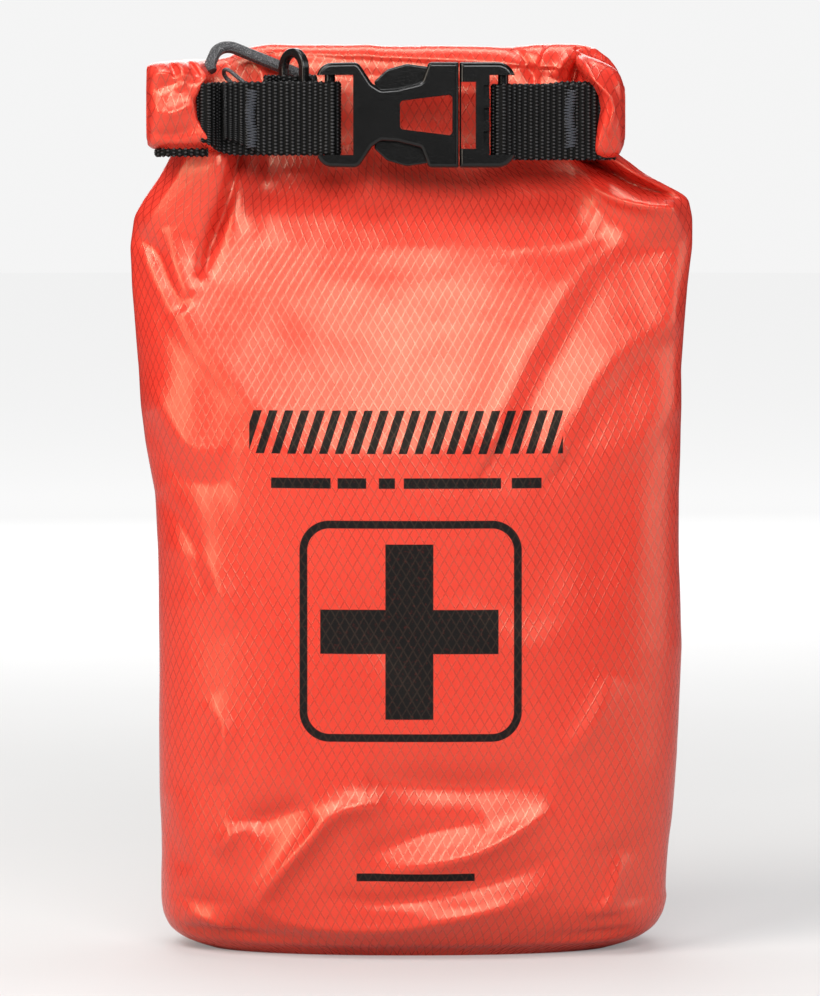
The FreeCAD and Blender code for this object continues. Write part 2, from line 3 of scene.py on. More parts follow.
import bpy
import numpy as np
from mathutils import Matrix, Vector


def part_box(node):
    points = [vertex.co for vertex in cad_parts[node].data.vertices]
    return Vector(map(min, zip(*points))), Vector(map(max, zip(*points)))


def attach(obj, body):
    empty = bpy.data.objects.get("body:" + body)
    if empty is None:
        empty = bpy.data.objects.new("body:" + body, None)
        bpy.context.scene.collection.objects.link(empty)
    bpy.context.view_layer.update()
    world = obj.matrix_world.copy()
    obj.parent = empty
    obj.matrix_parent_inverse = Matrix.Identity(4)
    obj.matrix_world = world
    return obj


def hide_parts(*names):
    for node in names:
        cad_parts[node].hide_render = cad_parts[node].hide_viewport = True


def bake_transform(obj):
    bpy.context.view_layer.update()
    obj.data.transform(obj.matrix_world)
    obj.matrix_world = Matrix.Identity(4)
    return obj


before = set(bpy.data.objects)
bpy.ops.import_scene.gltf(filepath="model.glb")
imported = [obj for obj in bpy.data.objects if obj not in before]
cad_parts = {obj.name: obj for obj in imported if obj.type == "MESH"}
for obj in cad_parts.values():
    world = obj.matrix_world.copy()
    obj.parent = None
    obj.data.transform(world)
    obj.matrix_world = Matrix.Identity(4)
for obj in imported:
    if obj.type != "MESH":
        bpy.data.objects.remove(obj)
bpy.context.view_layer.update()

# Every length below is in millimetres; a mesh is turned into metres when it is made.
MM = 0.001

STRAP_Z = 271.8
WEBBING_THICK = 1.4
BUCKLE_Y = -22.0
FEMALE_BAR_X = -25.7
MALE_BAR_X = 29.9

# How brightly the camera sees the surroundings, and how much light they give to the object.
PALE = 0.91
AMBIENT = 0.04


# ================================================================ small tools

def smooth(t):
    """An ease from 0 to 1."""
    t = np.clip(t, 0, 1)
    return t * t * (3 - 2 * t)


def rounded(wave, boxy):
    """A cosine or sine made squarer: 2 keeps an ellipse, and more is boxier."""
    return np.sign(wave) * np.abs(wave) ** (2 / boxy)


def soft_noise(u, v, cells_u, cells_v, seed):
    """Smooth noise between -1 and 1 over u and v in 0..1, repeating in u."""
    values = np.random.default_rng(seed).uniform(-1, 1, (cells_u, cells_v + 2))
    fu, fv = u * cells_u, np.clip(v, 0, 1) * cells_v
    iu, iv = np.floor(fu).astype(int), np.floor(fv).astype(int)
    su, sv = smooth(fu - iu), smooth(fv - iv)
    a, b = iu % cells_u, (iu + 1) % cells_u
    low = values[a, iv] * (1 - su) + values[b, iv] * su
    high = values[a, iv + 1] * (1 - su) + values[b, iv + 1] * su
    return low * (1 - sv) + high * sv


def through_four(a, b, c, d, t):
    """A smooth run from b to c over t in 0..1, with a before it and d after it."""
    return 0.5 * (2 * b + (c - a) * t + (2 * a - 5 * b + 4 * c - d) * t ** 2
                  + (3 * b - a - 3 * c + d) * t ** 3)


def curve_through(points, count=40):
    """A smooth plane curve through a few points."""
    points = np.array(points, float)
    if len(points) == 2:
        t = np.linspace(0, 1, count)[:, None]
        return points[0] * (1 - t) + points[1] * t
    padded = np.vstack([2 * points[0] - points[1], points, 2 * points[-1] - points[-2]])
    runs = []
    for a, b, c, d in zip(padded, padded[1:], padded[2:], padded[3:]):
        t = np.linspace(0, 1, max(4, count // (len(points) - 1)), endpoint=False)[:, None]
        runs.append(through_four(a, b, c, d, t))
    return np.vstack([*runs, points[-1:]])


def measure_to(line, x, z):
    """For points of a plane: distance to a curve, side (positive to its left), and share of its length."""
    best = np.full(x.shape, 1e9)
    side = np.zeros(x.shape)
    share = np.zeros(x.shape)
    steps = np.diff(line, axis=0)
    lengths = np.hypot(steps[:, 0], steps[:, 1])
    starts = np.concatenate([[0], np.cumsum(lengths)])
    for (px, pz), (dx, dz), length, start in zip(line, steps, lengths, starts):
        along = ((x - px) * dx + (z - pz) * dz) / max(length, 1e-9) ** 2
        along = np.clip(along, 0, 1)
        ox, oz = x - px - along * dx, z - pz - along * dz
        far = np.hypot(ox, oz)
        closer = far < best
        best = np.where(closer, far, best)
        side = np.where(closer, np.sign(dx * oz - dz * ox), side)
        share = np.where(closer, (start + along * length) / starts[-1], share)
    return best, side, share


CREASE = 0.35
FOLD_GAIN = 1.25


def fold(x, z, points, height, width, ends=(0.0, 0.0), lean=0.0):
    """How far a fold lifts the cloth: a ridge for a height above 0 and a valley below it.

    ends are the shares of the height left at the two ends. lean above 0 makes the left side of the
    curve steep and the right side long; below 0 the other way round."""
    far, side, share = measure_to(curve_through(points), x, z)
    scale = np.where(side > 0, width * (1 - 0.6 * max(lean, 0)), width * (1 + 0.6 * min(lean, 0)))
    fade = np.sin(math.pi * np.clip(share, 0, 1)) ** 0.6
    level = ends[0] * (1 - share) + ends[1] * share
    crease = np.exp(-(np.sqrt((far / scale) ** 2 + CREASE ** 2) - CREASE) * 1.3)
    return FOLD_GAIN * height * (fade * (1 - level) + level) * crease


def step_fold(x, z, points, height, width, reach, ends=(1.0, 0.0)):
    """Cloth that lies over other cloth: raised on the curve's left side, and falling steeply at it."""
    far, side, share = measure_to(curve_through(points), x, z)
    level = ends[0] * (1 - share) + ends[1] * share
    rise = 0.5 + 0.5 * np.tanh(side * far / width)
    return height * level * rise * np.exp(-(far / reach) ** 2)


class Relief:
    """Folds added up over places given by x and z."""

    def __init__(self, x, z):
        self.x, self.z = x, z
        self.lift = np.zeros(x.shape)

    def fold(self, *shape, **more):
        self.lift += fold(self.x, self.z, *shape, **more)

    def step(self, *shape, **more):
        self.lift += step_fold(self.x, self.z, *shape, **more)


def mesh_piece(name, points, faces, cloth=None):
    """A smooth mesh from millimetre points, with a UV map named cloth if its coordinates are given."""
    mesh = bpy.data.meshes.new(name)
    mesh.from_pydata((np.asarray(points) * MM).tolist(), [], faces)
    mesh.update()
    mesh.shade_smooth()
    if cloth is not None:
        layer = mesh.uv_layers.new(name="cloth")
        corner = np.zeros(len(mesh.loops), int)
        mesh.loops.foreach_get("vertex_index", corner)
        layer.data.foreach_set("uv", np.asarray(cloth)[corner].astype(np.float32).ravel())
    piece = bpy.data.objects.new(name, mesh)
    bpy.context.scene.collection.objects.link(piece)
    return piece


def grid_faces(rows, columns, around):
    """Quads between rows of points; around joins the last column to the first."""
    row = np.arange(rows - 1)[:, None] * columns
    column = np.arange(columns if around else columns - 1)[None, :]
    after = (column + 1) % columns
    quads = np.stack([row + column, row + after, row + columns + after, row + columns + column], -1)
    return quads.reshape(-1, 4).tolist()


def closed_tube(rows, columns):
    """The faces of a tube that is closed at both ends."""
    faces = grid_faces(rows, columns, True)
    faces.append(list(range(columns))[::-1])
    faces.append([(rows - 1) * columns + n for n in range(columns)])
    return faces


def set_seam(piece, rows, columns, width, axis=0):
    """Makes the cloth map run on across the tube's closing seam."""
    mesh = piece.data
    layer = mesh.uv_layers["cloth"]
    uv = np.zeros(len(mesh.loops) * 2, np.float32)
    layer.data.foreach_get("uv", uv)
    uv = uv.reshape(-1, 2)
    for face in mesh.polygons:
        if face.index % columns == columns - 1 and face.index < (rows - 1) * columns:
            for corner in face.loop_indices:
                if uv[corner, axis] < width / 2:
                    uv[corner, axis] += width
    layer.data.foreach_set("uv", uv.ravel())


# ================================================================ materials

class Nodes:
    """A short hand for building one procedural material."""

    def __init__(self, name):
        self.material = bpy.data.materials.new(name)
        self.material.use_nodes = True
        self.tree = self.material.node_tree
        self.shader = self.tree.nodes["Principled BSDF"]

    def add(self, kind, inputs=None, **settings):
        node = self.tree.nodes.new(kind)
        for key, value in settings.items():
            setattr(node, key, value)
        for key, value in (inputs or {}).items():
            if hasattr(value, "is_output"):
                self.tree.links.new(value, node.inputs[key])
            else:
                node.inputs[key].default_value = value
        return node.outputs[0]

    def math(self, operation, first, second=0.0, third=0.0):
        return self.add("ShaderNodeMath", {0: first, 1: second, 2: third}, operation=operation)

    def times(self, first, second):
        return self.math("MULTIPLY", first, second)

    def plus(self, first, second):
        return self.math("ADD", first, second)

    def minus(self, first, second):
        return self.math("SUBTRACT", first, second)

    def larger(self, first, second):
        return self.math("MAXIMUM", first, second)

    def span(self, value, low, high, to_low=0.0, to_high=1.0):
        inputs = {0: value, 1: low, 2: high, 3: to_low, 4: to_high}
        return self.add("ShaderNodeMapRange", inputs, interpolation_type="SMOOTHSTEP")

    def mix(self, factor, first, second):
        node = self.tree.nodes.new("ShaderNodeMix")
        node.data_type = "RGBA"
        for socket, value in ((node.inputs[0], factor), (node.inputs[6], first), (node.inputs[7], second)):
            if hasattr(value, "is_output"):
                self.tree.links.new(value, socket)
            else:
                socket.default_value = value
        return node.outputs[2]

    def noise(self, scale, where, detail=2.0, rough=0.5):
        return self.add("ShaderNodeTexNoise", {"Scale": scale, "Vector": where, "Detail": detail,
                                               "Roughness": rough})

    def place(self):
        """Where a point is on the object itself, in metres."""
        return self.add_named("ShaderNodeTexCoord", "Object")

    def add_named(self, kind, output, **settings):
        node = self.tree.nodes.new(kind)
        for key, value in settings.items():
            setattr(node, key, value)
        return node.outputs[output]

    def split(self, vector):
        node = self.tree.nodes.new("ShaderNodeSeparateXYZ")
        self.tree.links.new(vector, node.inputs[0])
        return node.outputs

    def bump(self, height, strength, distance, normal=None):
        inputs = {"Strength": strength, "Distance": distance, "Height": height}
        if normal is not None:
            inputs["Normal"] = normal
        return self.add("ShaderNodeBump", inputs)

    def set(self, **values):
        """Constants and links straight on the shader's own sockets."""
        for key, value in values.items():
            socket = self.shader.inputs[key.replace("_", " ")]
            if hasattr(value, "is_output"):
                self.tree.links.new(value, socket)
            else:
                socket.default_value = value
        return self.material


def rgb(red, green, blue):
    return (red, green, blue, 1.0)


def line_mask(nodes, value, half_width):
    """1 on the whole numbers of a value and 0 away from them."""
    part = nodes.math("FRACT", value)
    middle = nodes.math("ABSOLUTE", nodes.minus(part, 0.5))
    return nodes.span(middle, 0.5 - half_width * 1.8, 0.5 - half_width * 0.5)


def away_from(nodes, x, z, centre):
    """How far across and how far up or down a point is from a centre."""
    across = nodes.math("ABSOLUTE", nodes.minus(x, centre[0]))
    return across, nodes.math("ABSOLUTE", nodes.minus(z, centre[1]))


def box_mask(nodes, x, z, centre, half, soft=0.12):
    """1 inside a rectangle given in millimetres."""
    across, up = away_from(nodes, x, z, centre)
    inside_x = nodes.span(across, half[0] - soft, half[0] + soft, 1.0, 0.0)
    inside_z = nodes.span(up, half[1] - soft, half[1] + soft, 1.0, 0.0)
    return nodes.times(inside_x, inside_z)


def round_box_distance(nodes, x, z, centre, half, radius):
    """Distance from a rectangle with round corners, below 0 inside it."""
    across, up = away_from(nodes, x, z, centre)
    over_x = nodes.larger(nodes.minus(across, half[0] - radius), 0.0)
    over_z = nodes.larger(nodes.minus(up, half[1] - radius), 0.0)
    corner = nodes.math("SQRT", nodes.plus(nodes.times(over_x, over_x),
                                           nodes.times(over_z, over_z)))
    return nodes.minus(corner, radius)


def printed_marks(nodes, x, z):
    """The front's print: a cross in a rounded frame, and plain bars where a kit carries its words."""
    cross_centre, frame_centre = (-0.2, 106.7), (0.2, 106.9)
    marks = box_mask(nodes, x, z, cross_centre, (7.7, 28.1))
    marks = nodes.larger(marks, box_mask(nodes, x, z, cross_centre, (28.6, 7.1)))
    edge = round_box_distance(nodes, x, z, frame_centre, (34.4, 34.2), 8.4)
    border = nodes.span(nodes.math("ABSOLUTE", edge), 1.15, 1.4, 1.0, 0.0)
    marks = nodes.larger(marks, border)
    slant = nodes.math("DIVIDE", nodes.minus(x, nodes.times(z, 0.32)), 5.1)
    stripes = nodes.span(nodes.math("FRACT", slant), 0.52, 0.56, 1.0, 0.0)
    heading = box_mask(nodes, x, z, (-1.3, 170.6), (50.4, 6.9))
    marks = nodes.larger(marks, nodes.times(heading, stripes))
    for centre, half in ((-35.0, 9.6), (-18.6, 4.6), (-7.4, 2.6), (13.6, 15.6), (37.4, 4.8)):
        marks = nodes.larger(marks, box_mask(nodes, x, z, (centre, 154.3), (half, 1.7)))
    return nodes.larger(marks, box_mask(nodes, x, z, (1.8, 27.6), (19.0, 1.3)))


# Width and height of the ripstop's diamonds.
DIAMOND = (3.06, 5.3)


def ripstop(name, printed):
    """Coated diamond ripstop: raised crossing yarns over a fine plain weave, with a satin coating."""
    nodes = Nodes(name)
    cloth = nodes.split(nodes.add_named("ShaderNodeUVMap", "UV", uv_map="cloth"))
    where = nodes.place()
    s, t = cloth[0], cloth[1]
    wobble = nodes.times(nodes.noise(90.0, where), 0.12)
    across, up = nodes.math("DIVIDE", s, DIAMOND[0]), nodes.math("DIVIDE", t, DIAMOND[1])
    right = nodes.plus(nodes.plus(across, up), wobble)
    left = nodes.plus(nodes.minus(across, up), wobble)
    yarns = nodes.larger(line_mask(nodes, right, 0.07), line_mask(nodes, left, 0.07))
    weave = nodes.times(nodes.math("SINE", nodes.times(s, 15.0)),
                       nodes.math("SINE", nodes.times(t, 15.0)))
    broad = nodes.noise(14.0, where, 3.0)
    base = nodes.mix(nodes.span(broad, 0.3, 0.7), rgb(0.70, 0.036, 0.022), rgb(0.75, 0.047, 0.029))
    base = nodes.mix(nodes.times(yarns, 0.8), base, rgb(0.48, 0.020, 0.013))
    rough = nodes.span(nodes.noise(260.0, where, 2.0), 0.3, 0.7, 0.28, 0.32)
    rough = nodes.minus(rough, nodes.times(yarns, 0.03))
    shine = nodes.plus(0.85, nodes.times(yarns, 0.8))
    if printed:
        shown = nodes.split(nodes.add_named("ShaderNodeUVMap", "UV", uv_map="print"))
        marks = printed_marks(nodes, shown[0], shown[1])
        thin = nodes.span(nodes.noise(900.0, where, 2.0), 0.2, 0.45, 0.95, 1.0)
        marks = nodes.times(marks, thin)
        ink = nodes.mix(yarns, rgb(0.010, 0.010, 0.011), rgb(0.020, 0.015, 0.014))
        base = nodes.mix(marks, base, ink)
        rough = nodes.plus(rough, nodes.times(marks, 0.10))
        shine = nodes.times(shine, nodes.minus(1.0, nodes.times(marks, 0.9)))
    height = nodes.plus(nodes.times(yarns, 0.035), nodes.times(weave, 0.006))
    normal = nodes.bump(height, 0.9, 0.001)
    normal = nodes.bump(nodes.noise(70.0, where, 3.0), 0.10, 0.0015, normal)
    return nodes.set(Base_Color=base, Roughness=rough, Normal=normal, Specular_IOR_Level=shine,
                     Specular_Tint=rgb(1.0, 0.74, 0.50))


def webbing_material():
    """Black polyester webbing: rows of small shiny loops over the ribs of the mesh, with a painted highlight
    on the loop tops and painted shade in the gaps between them.
    """
    nodes = Nodes("webbing_weave")
    cloth = nodes.split(nodes.add_named("ShaderNodeUVMap", "UV", uv_map="cloth"))
    where = nodes.place()
    along = nodes.math("DIVIDE", cloth[0], RIB)
    row = nodes.math("ROUND", along)
    stagger = nodes.times(nodes.math("FLOORED_MODULO", row, 2.0), 0.5)
    across = nodes.plus(nodes.math("DIVIDE", cloth[1], LOOP), stagger)
    turn = 2 * math.pi
    rib = nodes.math("COSINE", nodes.times(along, turn))
    loop = nodes.math("COSINE", nodes.times(across, turn))
    top = nodes.times(nodes.span(rib, -0.7, 0.8), nodes.span(loop, -0.8, 0.9))
    strand = nodes.noise(3000.0, where, 2.0)
    fuzz = nodes.noise(500.0, where, 3.0)
    # painted highlight and shade: the loop tops get a lighter colour and the gaps between them a near-black
    # one
    painted_loop_glint = nodes.times(top, nodes.span(fuzz, 0.25, 0.75, 0.45, 1.0))
    base = nodes.mix(painted_loop_glint, rgb(0.002, 0.002, 0.002), rgb(0.042, 0.042, 0.044))
    height = nodes.plus(nodes.times(top, 0.30), nodes.times(strand, 0.10))
    return nodes.set(Base_Color=base, Roughness=nodes.span(strand, 0.3, 0.7, 0.42, 0.6),
                     Normal=nodes.bump(height, 0.8, 0.001),
                     Specular_IOR_Level=nodes.span(top, 0.0, 1.0, 0.1, 0.45))


def thread_material():
    nodes = Nodes("thread_satin")
    where = nodes.place()
    grain = nodes.noise(1800.0, where, 2.0)
    base = nodes.mix(grain, rgb(0.012, 0.014, 0.020), rgb(0.036, 0.042, 0.060))
    return nodes.set(Base_Color=base, Roughness=nodes.span(grain, 0.3, 0.7, 0.38, 0.5),
                     Normal=nodes.bump(grain, 0.4, 0.0004), Sheen_Weight=0.2)


def moulded_plastic(name, shade, rough_low, rough_high, grain_size, relief):
    """Black moulded plastic: fine spark-eroded texture, slight flow marks and worn, shinier spots."""
    nodes = Nodes(name)
    where = nodes.place()
    grain = nodes.noise(grain_size, where, 3.0, 0.6)
    flow = nodes.noise(60.0, where, 2.0)
    base = nodes.mix(nodes.span(flow, 0.3, 0.7), rgb(*[shade * 0.7] * 3), rgb(*[shade * 1.25] * 3))
    rough = nodes.plus(nodes.span(grain, 0.25, 0.75, rough_low, rough_high),
                       nodes.span(flow, 0.55, 0.75, 0.0, -0.06))
    return nodes.set(Base_Color=base, Roughness=rough, Normal=nodes.bump(grain, relief, 0.0004),
                     Specular_IOR_Level=0.42)


def speckled_coat():
    """The carabiner's dark grey powder coat with fine light speckles."""
    nodes = Nodes("carabiner_speckle")
    where = nodes.place()
    speckle = nodes.noise(3200.0, where, 2.0, 0.7)
    cloud = nodes.noise(120.0, where, 2.0)
    light = nodes.span(speckle, 0.50, 0.68)
    base = nodes.mix(light, rgb(0.045, 0.045, 0.048), rgb(0.30, 0.30, 0.31))
    base = nodes.mix(nodes.span(cloud, 0.5, 0.8, 0.0, 0.35), base, rgb(0.09, 0.09, 0.095))
    return nodes.set(Base_Color=base, Roughness=nodes.span(speckle, 0.3, 0.7, 0.36, 0.52),
                     Normal=nodes.bump(speckle, 0.35, 0.0004), Metallic=0.35)


def plain_inner(name, colour, rough):
    """Papers, gauze and films inside the bag, each with a little fibre."""
    nodes = Nodes(name)
    fibre = nodes.noise(500.0, nodes.place(), 3.0)
    darker = tuple(0.82 * channel for channel in colour[:3]) + (1.0,)
    base = nodes.mix(nodes.span(fibre, 0.3, 0.7), colour, darker)
    return nodes.set(Base_Color=base, Roughness=nodes.span(fibre, 0.3, 0.7, rough - 0.06, rough + 0.06),
                     Normal=nodes.bump(fibre, 0.3, 0.0006))


# The floor's glow: distances from the object in metres where it starts and is full, and its least level.
GLOW_FROM, GLOW_FULL, GLOW_LEAST = 0.05, 2.2, 0.20


def floor_material():
    """A pale floor that keeps its brightness away from the lamps, so that it meets the pale surroundings."""
    nodes = Nodes("studio_white")
    where = nodes.place()
    grain = nodes.noise(6.0, where, 2.0)
    base = nodes.mix(grain, rgb(0.49, 0.49, 0.49), rgb(0.51, 0.51, 0.51))
    spot = nodes.split(where)
    far = nodes.math("SQRT", nodes.plus(nodes.times(spot[0], spot[0]),
                                        nodes.times(spot[1], spot[1])))
    to_camera = nodes.add("ShaderNodeLightPath")
    glow = nodes.times(to_camera, nodes.span(far, GLOW_FROM, GLOW_FULL, GLOW_LEAST, PALE - 0.05))
    return nodes.set(Base_Color=base, Roughness=0.9, Specular_IOR_Level=0.1,
                     Emission_Color=rgb(1.0, 1.0, 1.0), Emission_Strength=glow)


# ================================================================ the bag

# The filled bag from the base up: height, left edge, right edge, half depth, how far back the middle
# lies, and how boxy the section is (2 is an ellipse).
BAG_PROFILE = np.array([
    (0.0, -66.0, 66.0, 23.5, 0.0, 2.2),
    (2.0, -73.0, 73.5, 25.6, 0.0, 2.3),
    (6.0, -79.0, 80.6, 29.6, 0.0, 2.4),
    (11.0, -81.6, 83.8, 33.4, 0.0, 2.45),
    (16.0, -82.4, 84.9, 35.8, 0.0, 2.45),
    (24.0, -82.8, 85.4, 37.2, 0.0, 2.4),
    (40.0, -82.8, 86.6, 38.0, 0.0, 2.4),
    (65.0, -82.8, 88.0, 38.0, 0.0, 2.35),
    (100.0, -82.6, 89.6, 37.2, 0.0, 2.3),
    (130.0, -83.1, 88.4, 36.6, 0.0, 2.25),
    (150.0, -84.0, 88.1, 36.4, 0.0, 2.2),
    (165.0, -86.8, 88.4, 35.4, 0.0, 2.2),
    (178.0, -88.4, 88.6, 32.6, 0.1, 2.2),
    (190.0, -89.0, 88.4, 29.7, 0.3, 2.15),
    (205.0, -90.4, 89.4, 26.2, 0.7, 2.1),
    (218.0, -91.8, 90.6, 23.0, 1.3, 2.05),
    (230.0, -92.2, 92.4, 19.5, 2.2, 2.0),
    (240.0, -90.6, 92.6, 15.5, 3.5, 2.0),
    (246.5, -86.6, 91.2, 12.6, 4.7, 2.0),
    (252.0, -82.2, 80.5, 10.4, 5.9, 2.1),
    (258.0, -78.6, 69.8, 8.2, 7.0, 2.3),
    (263.0, -76.0, 64.0, 6.0, 7.6, 2.4),
])
BAG_COLUMNS = 384
BAG_ROWS = 229
BAG_ROUND = 131 * 3.06


def bag_sections():
    """Points of the unfolded bag, row by row."""
    heights = BAG_PROFILE[:, 0]
    rows = np.interp(np.linspace(0, 1, BAG_ROWS), [0, 0.1, 0.5, 1], [0, 20, 150, heights[-1]])
    fine = np.linspace(0, heights[-1], 1600)
    kernel = np.hanning(41)
    kernel /= kernel.sum()
    columns = []
    for number in range(1, 6):
        value = np.interp(fine, heights, BAG_PROFILE[:, number])
        padded = np.pad(value, 20, mode="reflect", reflect_type="odd")
        columns.append(np.interp(rows, fine, np.convolve(padded, kernel, "valid")))
    points = np.zeros((BAG_ROWS, BAG_COLUMNS, 3))
    turn = np.linspace(0, 2 * math.pi, 1441)
    for row, (z, left, right, depth, back, boxy) in enumerate(zip(rows, *columns)):
        cos, sin = np.cos(turn), np.sin(turn)
        x = (left + right) / 2 - (right - left) / 2 * rounded(cos, boxy)
        y = back - depth * rounded(sin, boxy)
        run = np.concatenate([[0], np.cumsum(np.hypot(np.diff(x), np.diff(y)))])
        wanted = np.linspace(0, run[-1], BAG_COLUMNS, endpoint=False)
        points[row, :, 0] = np.interp(wanted, run, x)
        points[row, :, 1] = np.interp(wanted, run, y)
        points[row, :, 2] = z
    return points


def front_folds(x, z):
    """How far the front's folds stand proud, over the front's own x and z."""
    on = Relief(x, z)
    # Left shoulder: the folded flap, its deep crease, and the ridges that fan down from it.
    on.step([(-68, 224), (-66, 230), (-61.1, 243), (-58.2, 253), (-55.6, 263)], 8.5, 0.8, 22,
            ends=(0.0, 1.0))
    on.fold([(-55.4, 262), (-57.6, 253), (-60.5, 243), (-65.4, 229), (-68, 220)], -5.0, 2.2,
            ends=(1.0, 0.0))
    on.fold([(-93, 234), (-84, 229), (-79, 219), (-74, 209)], -3.6, 4.0, ends=(0.9, 0.0))
    on.fold([(-80, 236), (-77, 222), (-72, 214)], 2.0, 6.0)
    on.step([(-92, 231), (-80, 209), (-67, 191), (-51, 174)], 5.0, 2.6, 15, ends=(0.7, 0.3))
    on.fold([(-86, 186), (-74, 168), (-60, 162)], 2.0, 5.0)
    on.fold([(-86, 176), (-74, 156), (-56, 155)], -2.0, 6.0)
    on.fold([(-83, 150), (-72, 138), (-66, 118)], -1.8, 5.0)
    on.fold([(-80, 134), (-66, 128), (-56, 108)], 1.6, 5.0)
    # Right shoulder: the slit between its two lips, the dish below, and the long diagonal bands.
    on.fold([(56, 259), (66.6, 254), (76.7, 249.2), (91.5, 246.2)], -10.0, 1.7, ends=(0.9, 0.5))
    on.step([(93, 244.4), (76.7, 246.6), (66.6, 251.4), (57, 256.4)], 4.0, 0.7, 9, ends=(0.6, 0.8))
    on.fold([(62, 260), (72, 255.4), (82, 250.4), (92, 247)], 2.6, 2.2, ends=(0.6, 0.6))
    on.fold([(56, 254), (64, 247), (77, 243.6), (91, 242.4)], 3.0, 2.6, ends=(0.3, 0.5))
    on.step([(59.2, 253.2), (61.8, 243), (61, 235.6), (55, 231.4), (40, 229)], -2.4, 1.6, 8,
            ends=(0.8, 0.1))
    on.step([(31, 174), (45, 200), (60, 223), (76, 231), (93, 235)], 7.5, 4.6, 15,
            ends=(0.4, 0.5))
    on.step([(52, 168), (64, 186), (76, 197), (91, 205)], 5.6, 3.4, 13, ends=(0.3, 0.8))
    on.step([(58, 152), (72, 162), (90, 178)], 3.2, 3.0, 12, ends=(0.1, 0.8))
    # Lower half: crescents where the load sags on the base.
    on.fold([(-53, 16), (-45, 26), (-33, 40), (-22.8, 49.7), (-7.6, 52)], 3.8, 4.2)
    on.fold([(-58, 44), (-44, 47), (-32, 52)], -2.6, 5.0)
    on.fold([(-14, 60), (14, 57), (46, 58)], -2.8, 8.0)
    on.fold([(-18, 34), (4, 42), (24, 46)], -1.6, 4.5)
    on.fold([(-10, 30), (10, 33), (26, 38), (46, 50)], 3.0, 4.2, lean=-0.4)
    on.fold([(-51, 19), (-38, 12.5), (-8, 11), (25, 17), (47, 25)], 2.8, 3.8)
    on.fold([(-30, 22), (-6, 20), (24, 26), (52, 36)], -1.6, 3.6)
    on.fold([(-64, 35), (-56, 42), (-49, 46)], 1.8, 3.6)
    on.fold([(-66, 84), (-60, 76), (-62, 58)], 1.8, 3.6)
    on.fold([(-74, 14), (-66, 12.4), (-58, 9)], 1.8, 2.6)
    on.fold([(58, 14), (66, 20), (70, 34)], 1.8, 3.4)
    on.fold([(66, 92), (58, 76), (48, 66)], 1.8, 6.0)
    return on.lift


def back_folds(x, z):
    """The same for the back, which slumps in its own way."""
    on = Relief(x, z)
    for side in (-1, 1):
        on.fold([(side * 50, 258), (side * 58, 238), (side * 74, 214)], -3.6, 4.5, ends=(0.8, 0.0))
        on.fold([(side * 36, 258), (side * 40, 232), (side * 52, 200)], 2.4, 6.0, ends=(0.6, 0.0))
        on.fold([(side * 84, 222), (side * 62, 196), (side * 34, 176)], -3.0, 7.0)
        on.fold([(side * 84, 206), (side * 66, 182), (side * 44, 162)], 2.4, 6.0)
    on.fold([(-60, 20), (-20, 34), (14, 30)], 1.8, 6.0)
    on.fold([(-10, 16), (30, 24), (66, 50)], -1.8, 6.0)
    on.fold([(-70, 90), (-40, 118), (-8, 124)], -1.6, 9.0)
    on.fold([(12, 100), (40, 84), (72, 92)], 1.6, 9.0)
    return on.lift


SETTLE_STEP = 3
SETTLE_FRAMES = 22
SETTLE_PRESSURE = 7.0
SETTLE_LIMIT = 1.1
SETTLE_INWARDS = 0.6
REST_STRETCH = (1.012, 1.015, 1.018)


def settle(points):
    """Lets the cloth settle over its load as cloth does, and gives how far each point moved.

    The cloth is a little longer and wider than the bag is, held at the roll and at the base, and pushed
    out from inside; the surplus gathers into wrinkles between the modelled folds."""
    coarse = points[::SETTLE_STEP, ::SETTLE_STEP]
    rows, columns = coarse.shape[:2]
    cloth = mesh_piece("settling", coarse.reshape(-1, 3), grid_faces(rows, columns, True))
    cloth.shape_key_add(name="Basis")
    rest = cloth.shape_key_add(name="rest")
    wider = coarse.reshape(-1, 3) * MM * np.array(REST_STRETCH)
    rest.data.foreach_set("co", wider.astype(np.float32).ravel())
    held = cloth.vertex_groups.new(name="held")
    held.add(list(range(2 * columns)) + list(range((rows - 2) * columns, rows * columns)), 1.0, "REPLACE")
    modifier = cloth.modifiers.new("settling", "CLOTH")
    fabric = modifier.settings
    fabric.vertex_group_mass = held.name
    fabric.rest_shape_key = rest
    fabric.quality = 6
    fabric.mass = 0.25
    fabric.tension_stiffness = 15
    fabric.compression_stiffness = 15
    fabric.shear_stiffness = 6
    fabric.bending_stiffness = 0.6
    fabric.use_pressure = True
    fabric.uniform_pressure_force = SETTLE_PRESSURE
    fabric.effector_weights.gravity = 0.1
    scene = bpy.context.scene
    for frame_number in range(1, SETTLE_FRAMES + 1):
        scene.frame_set(frame_number)
    seen = cloth.evaluated_get(bpy.context.evaluated_depsgraph_get())
    moved = np.zeros(rows * columns * 3, np.float32)
    seen.data.vertices.foreach_get("co", moved)
    shift = moved.reshape(rows, columns, 3) / MM - coarse
    scene.frame_set(1)
    bpy.data.objects.remove(cloth)
    far = np.linalg.norm(shift, axis=2, keepdims=True)
    shift *= SETTLE_LIMIT * np.tanh(far / SETTLE_LIMIT) / np.maximum(far, 1e-9)
    outwards = np.sign(coarse[:, :, 1])
    shift[:, :, 1] = outwards * np.maximum(outwards * shift[:, :, 1], -SETTLE_INWARDS)
    shift = (shift + np.roll(shift, 1, axis=1) + np.roll(shift, -1, axis=1)) / 3
    return spread(shift, points.shape[:2]).reshape(-1, 3)


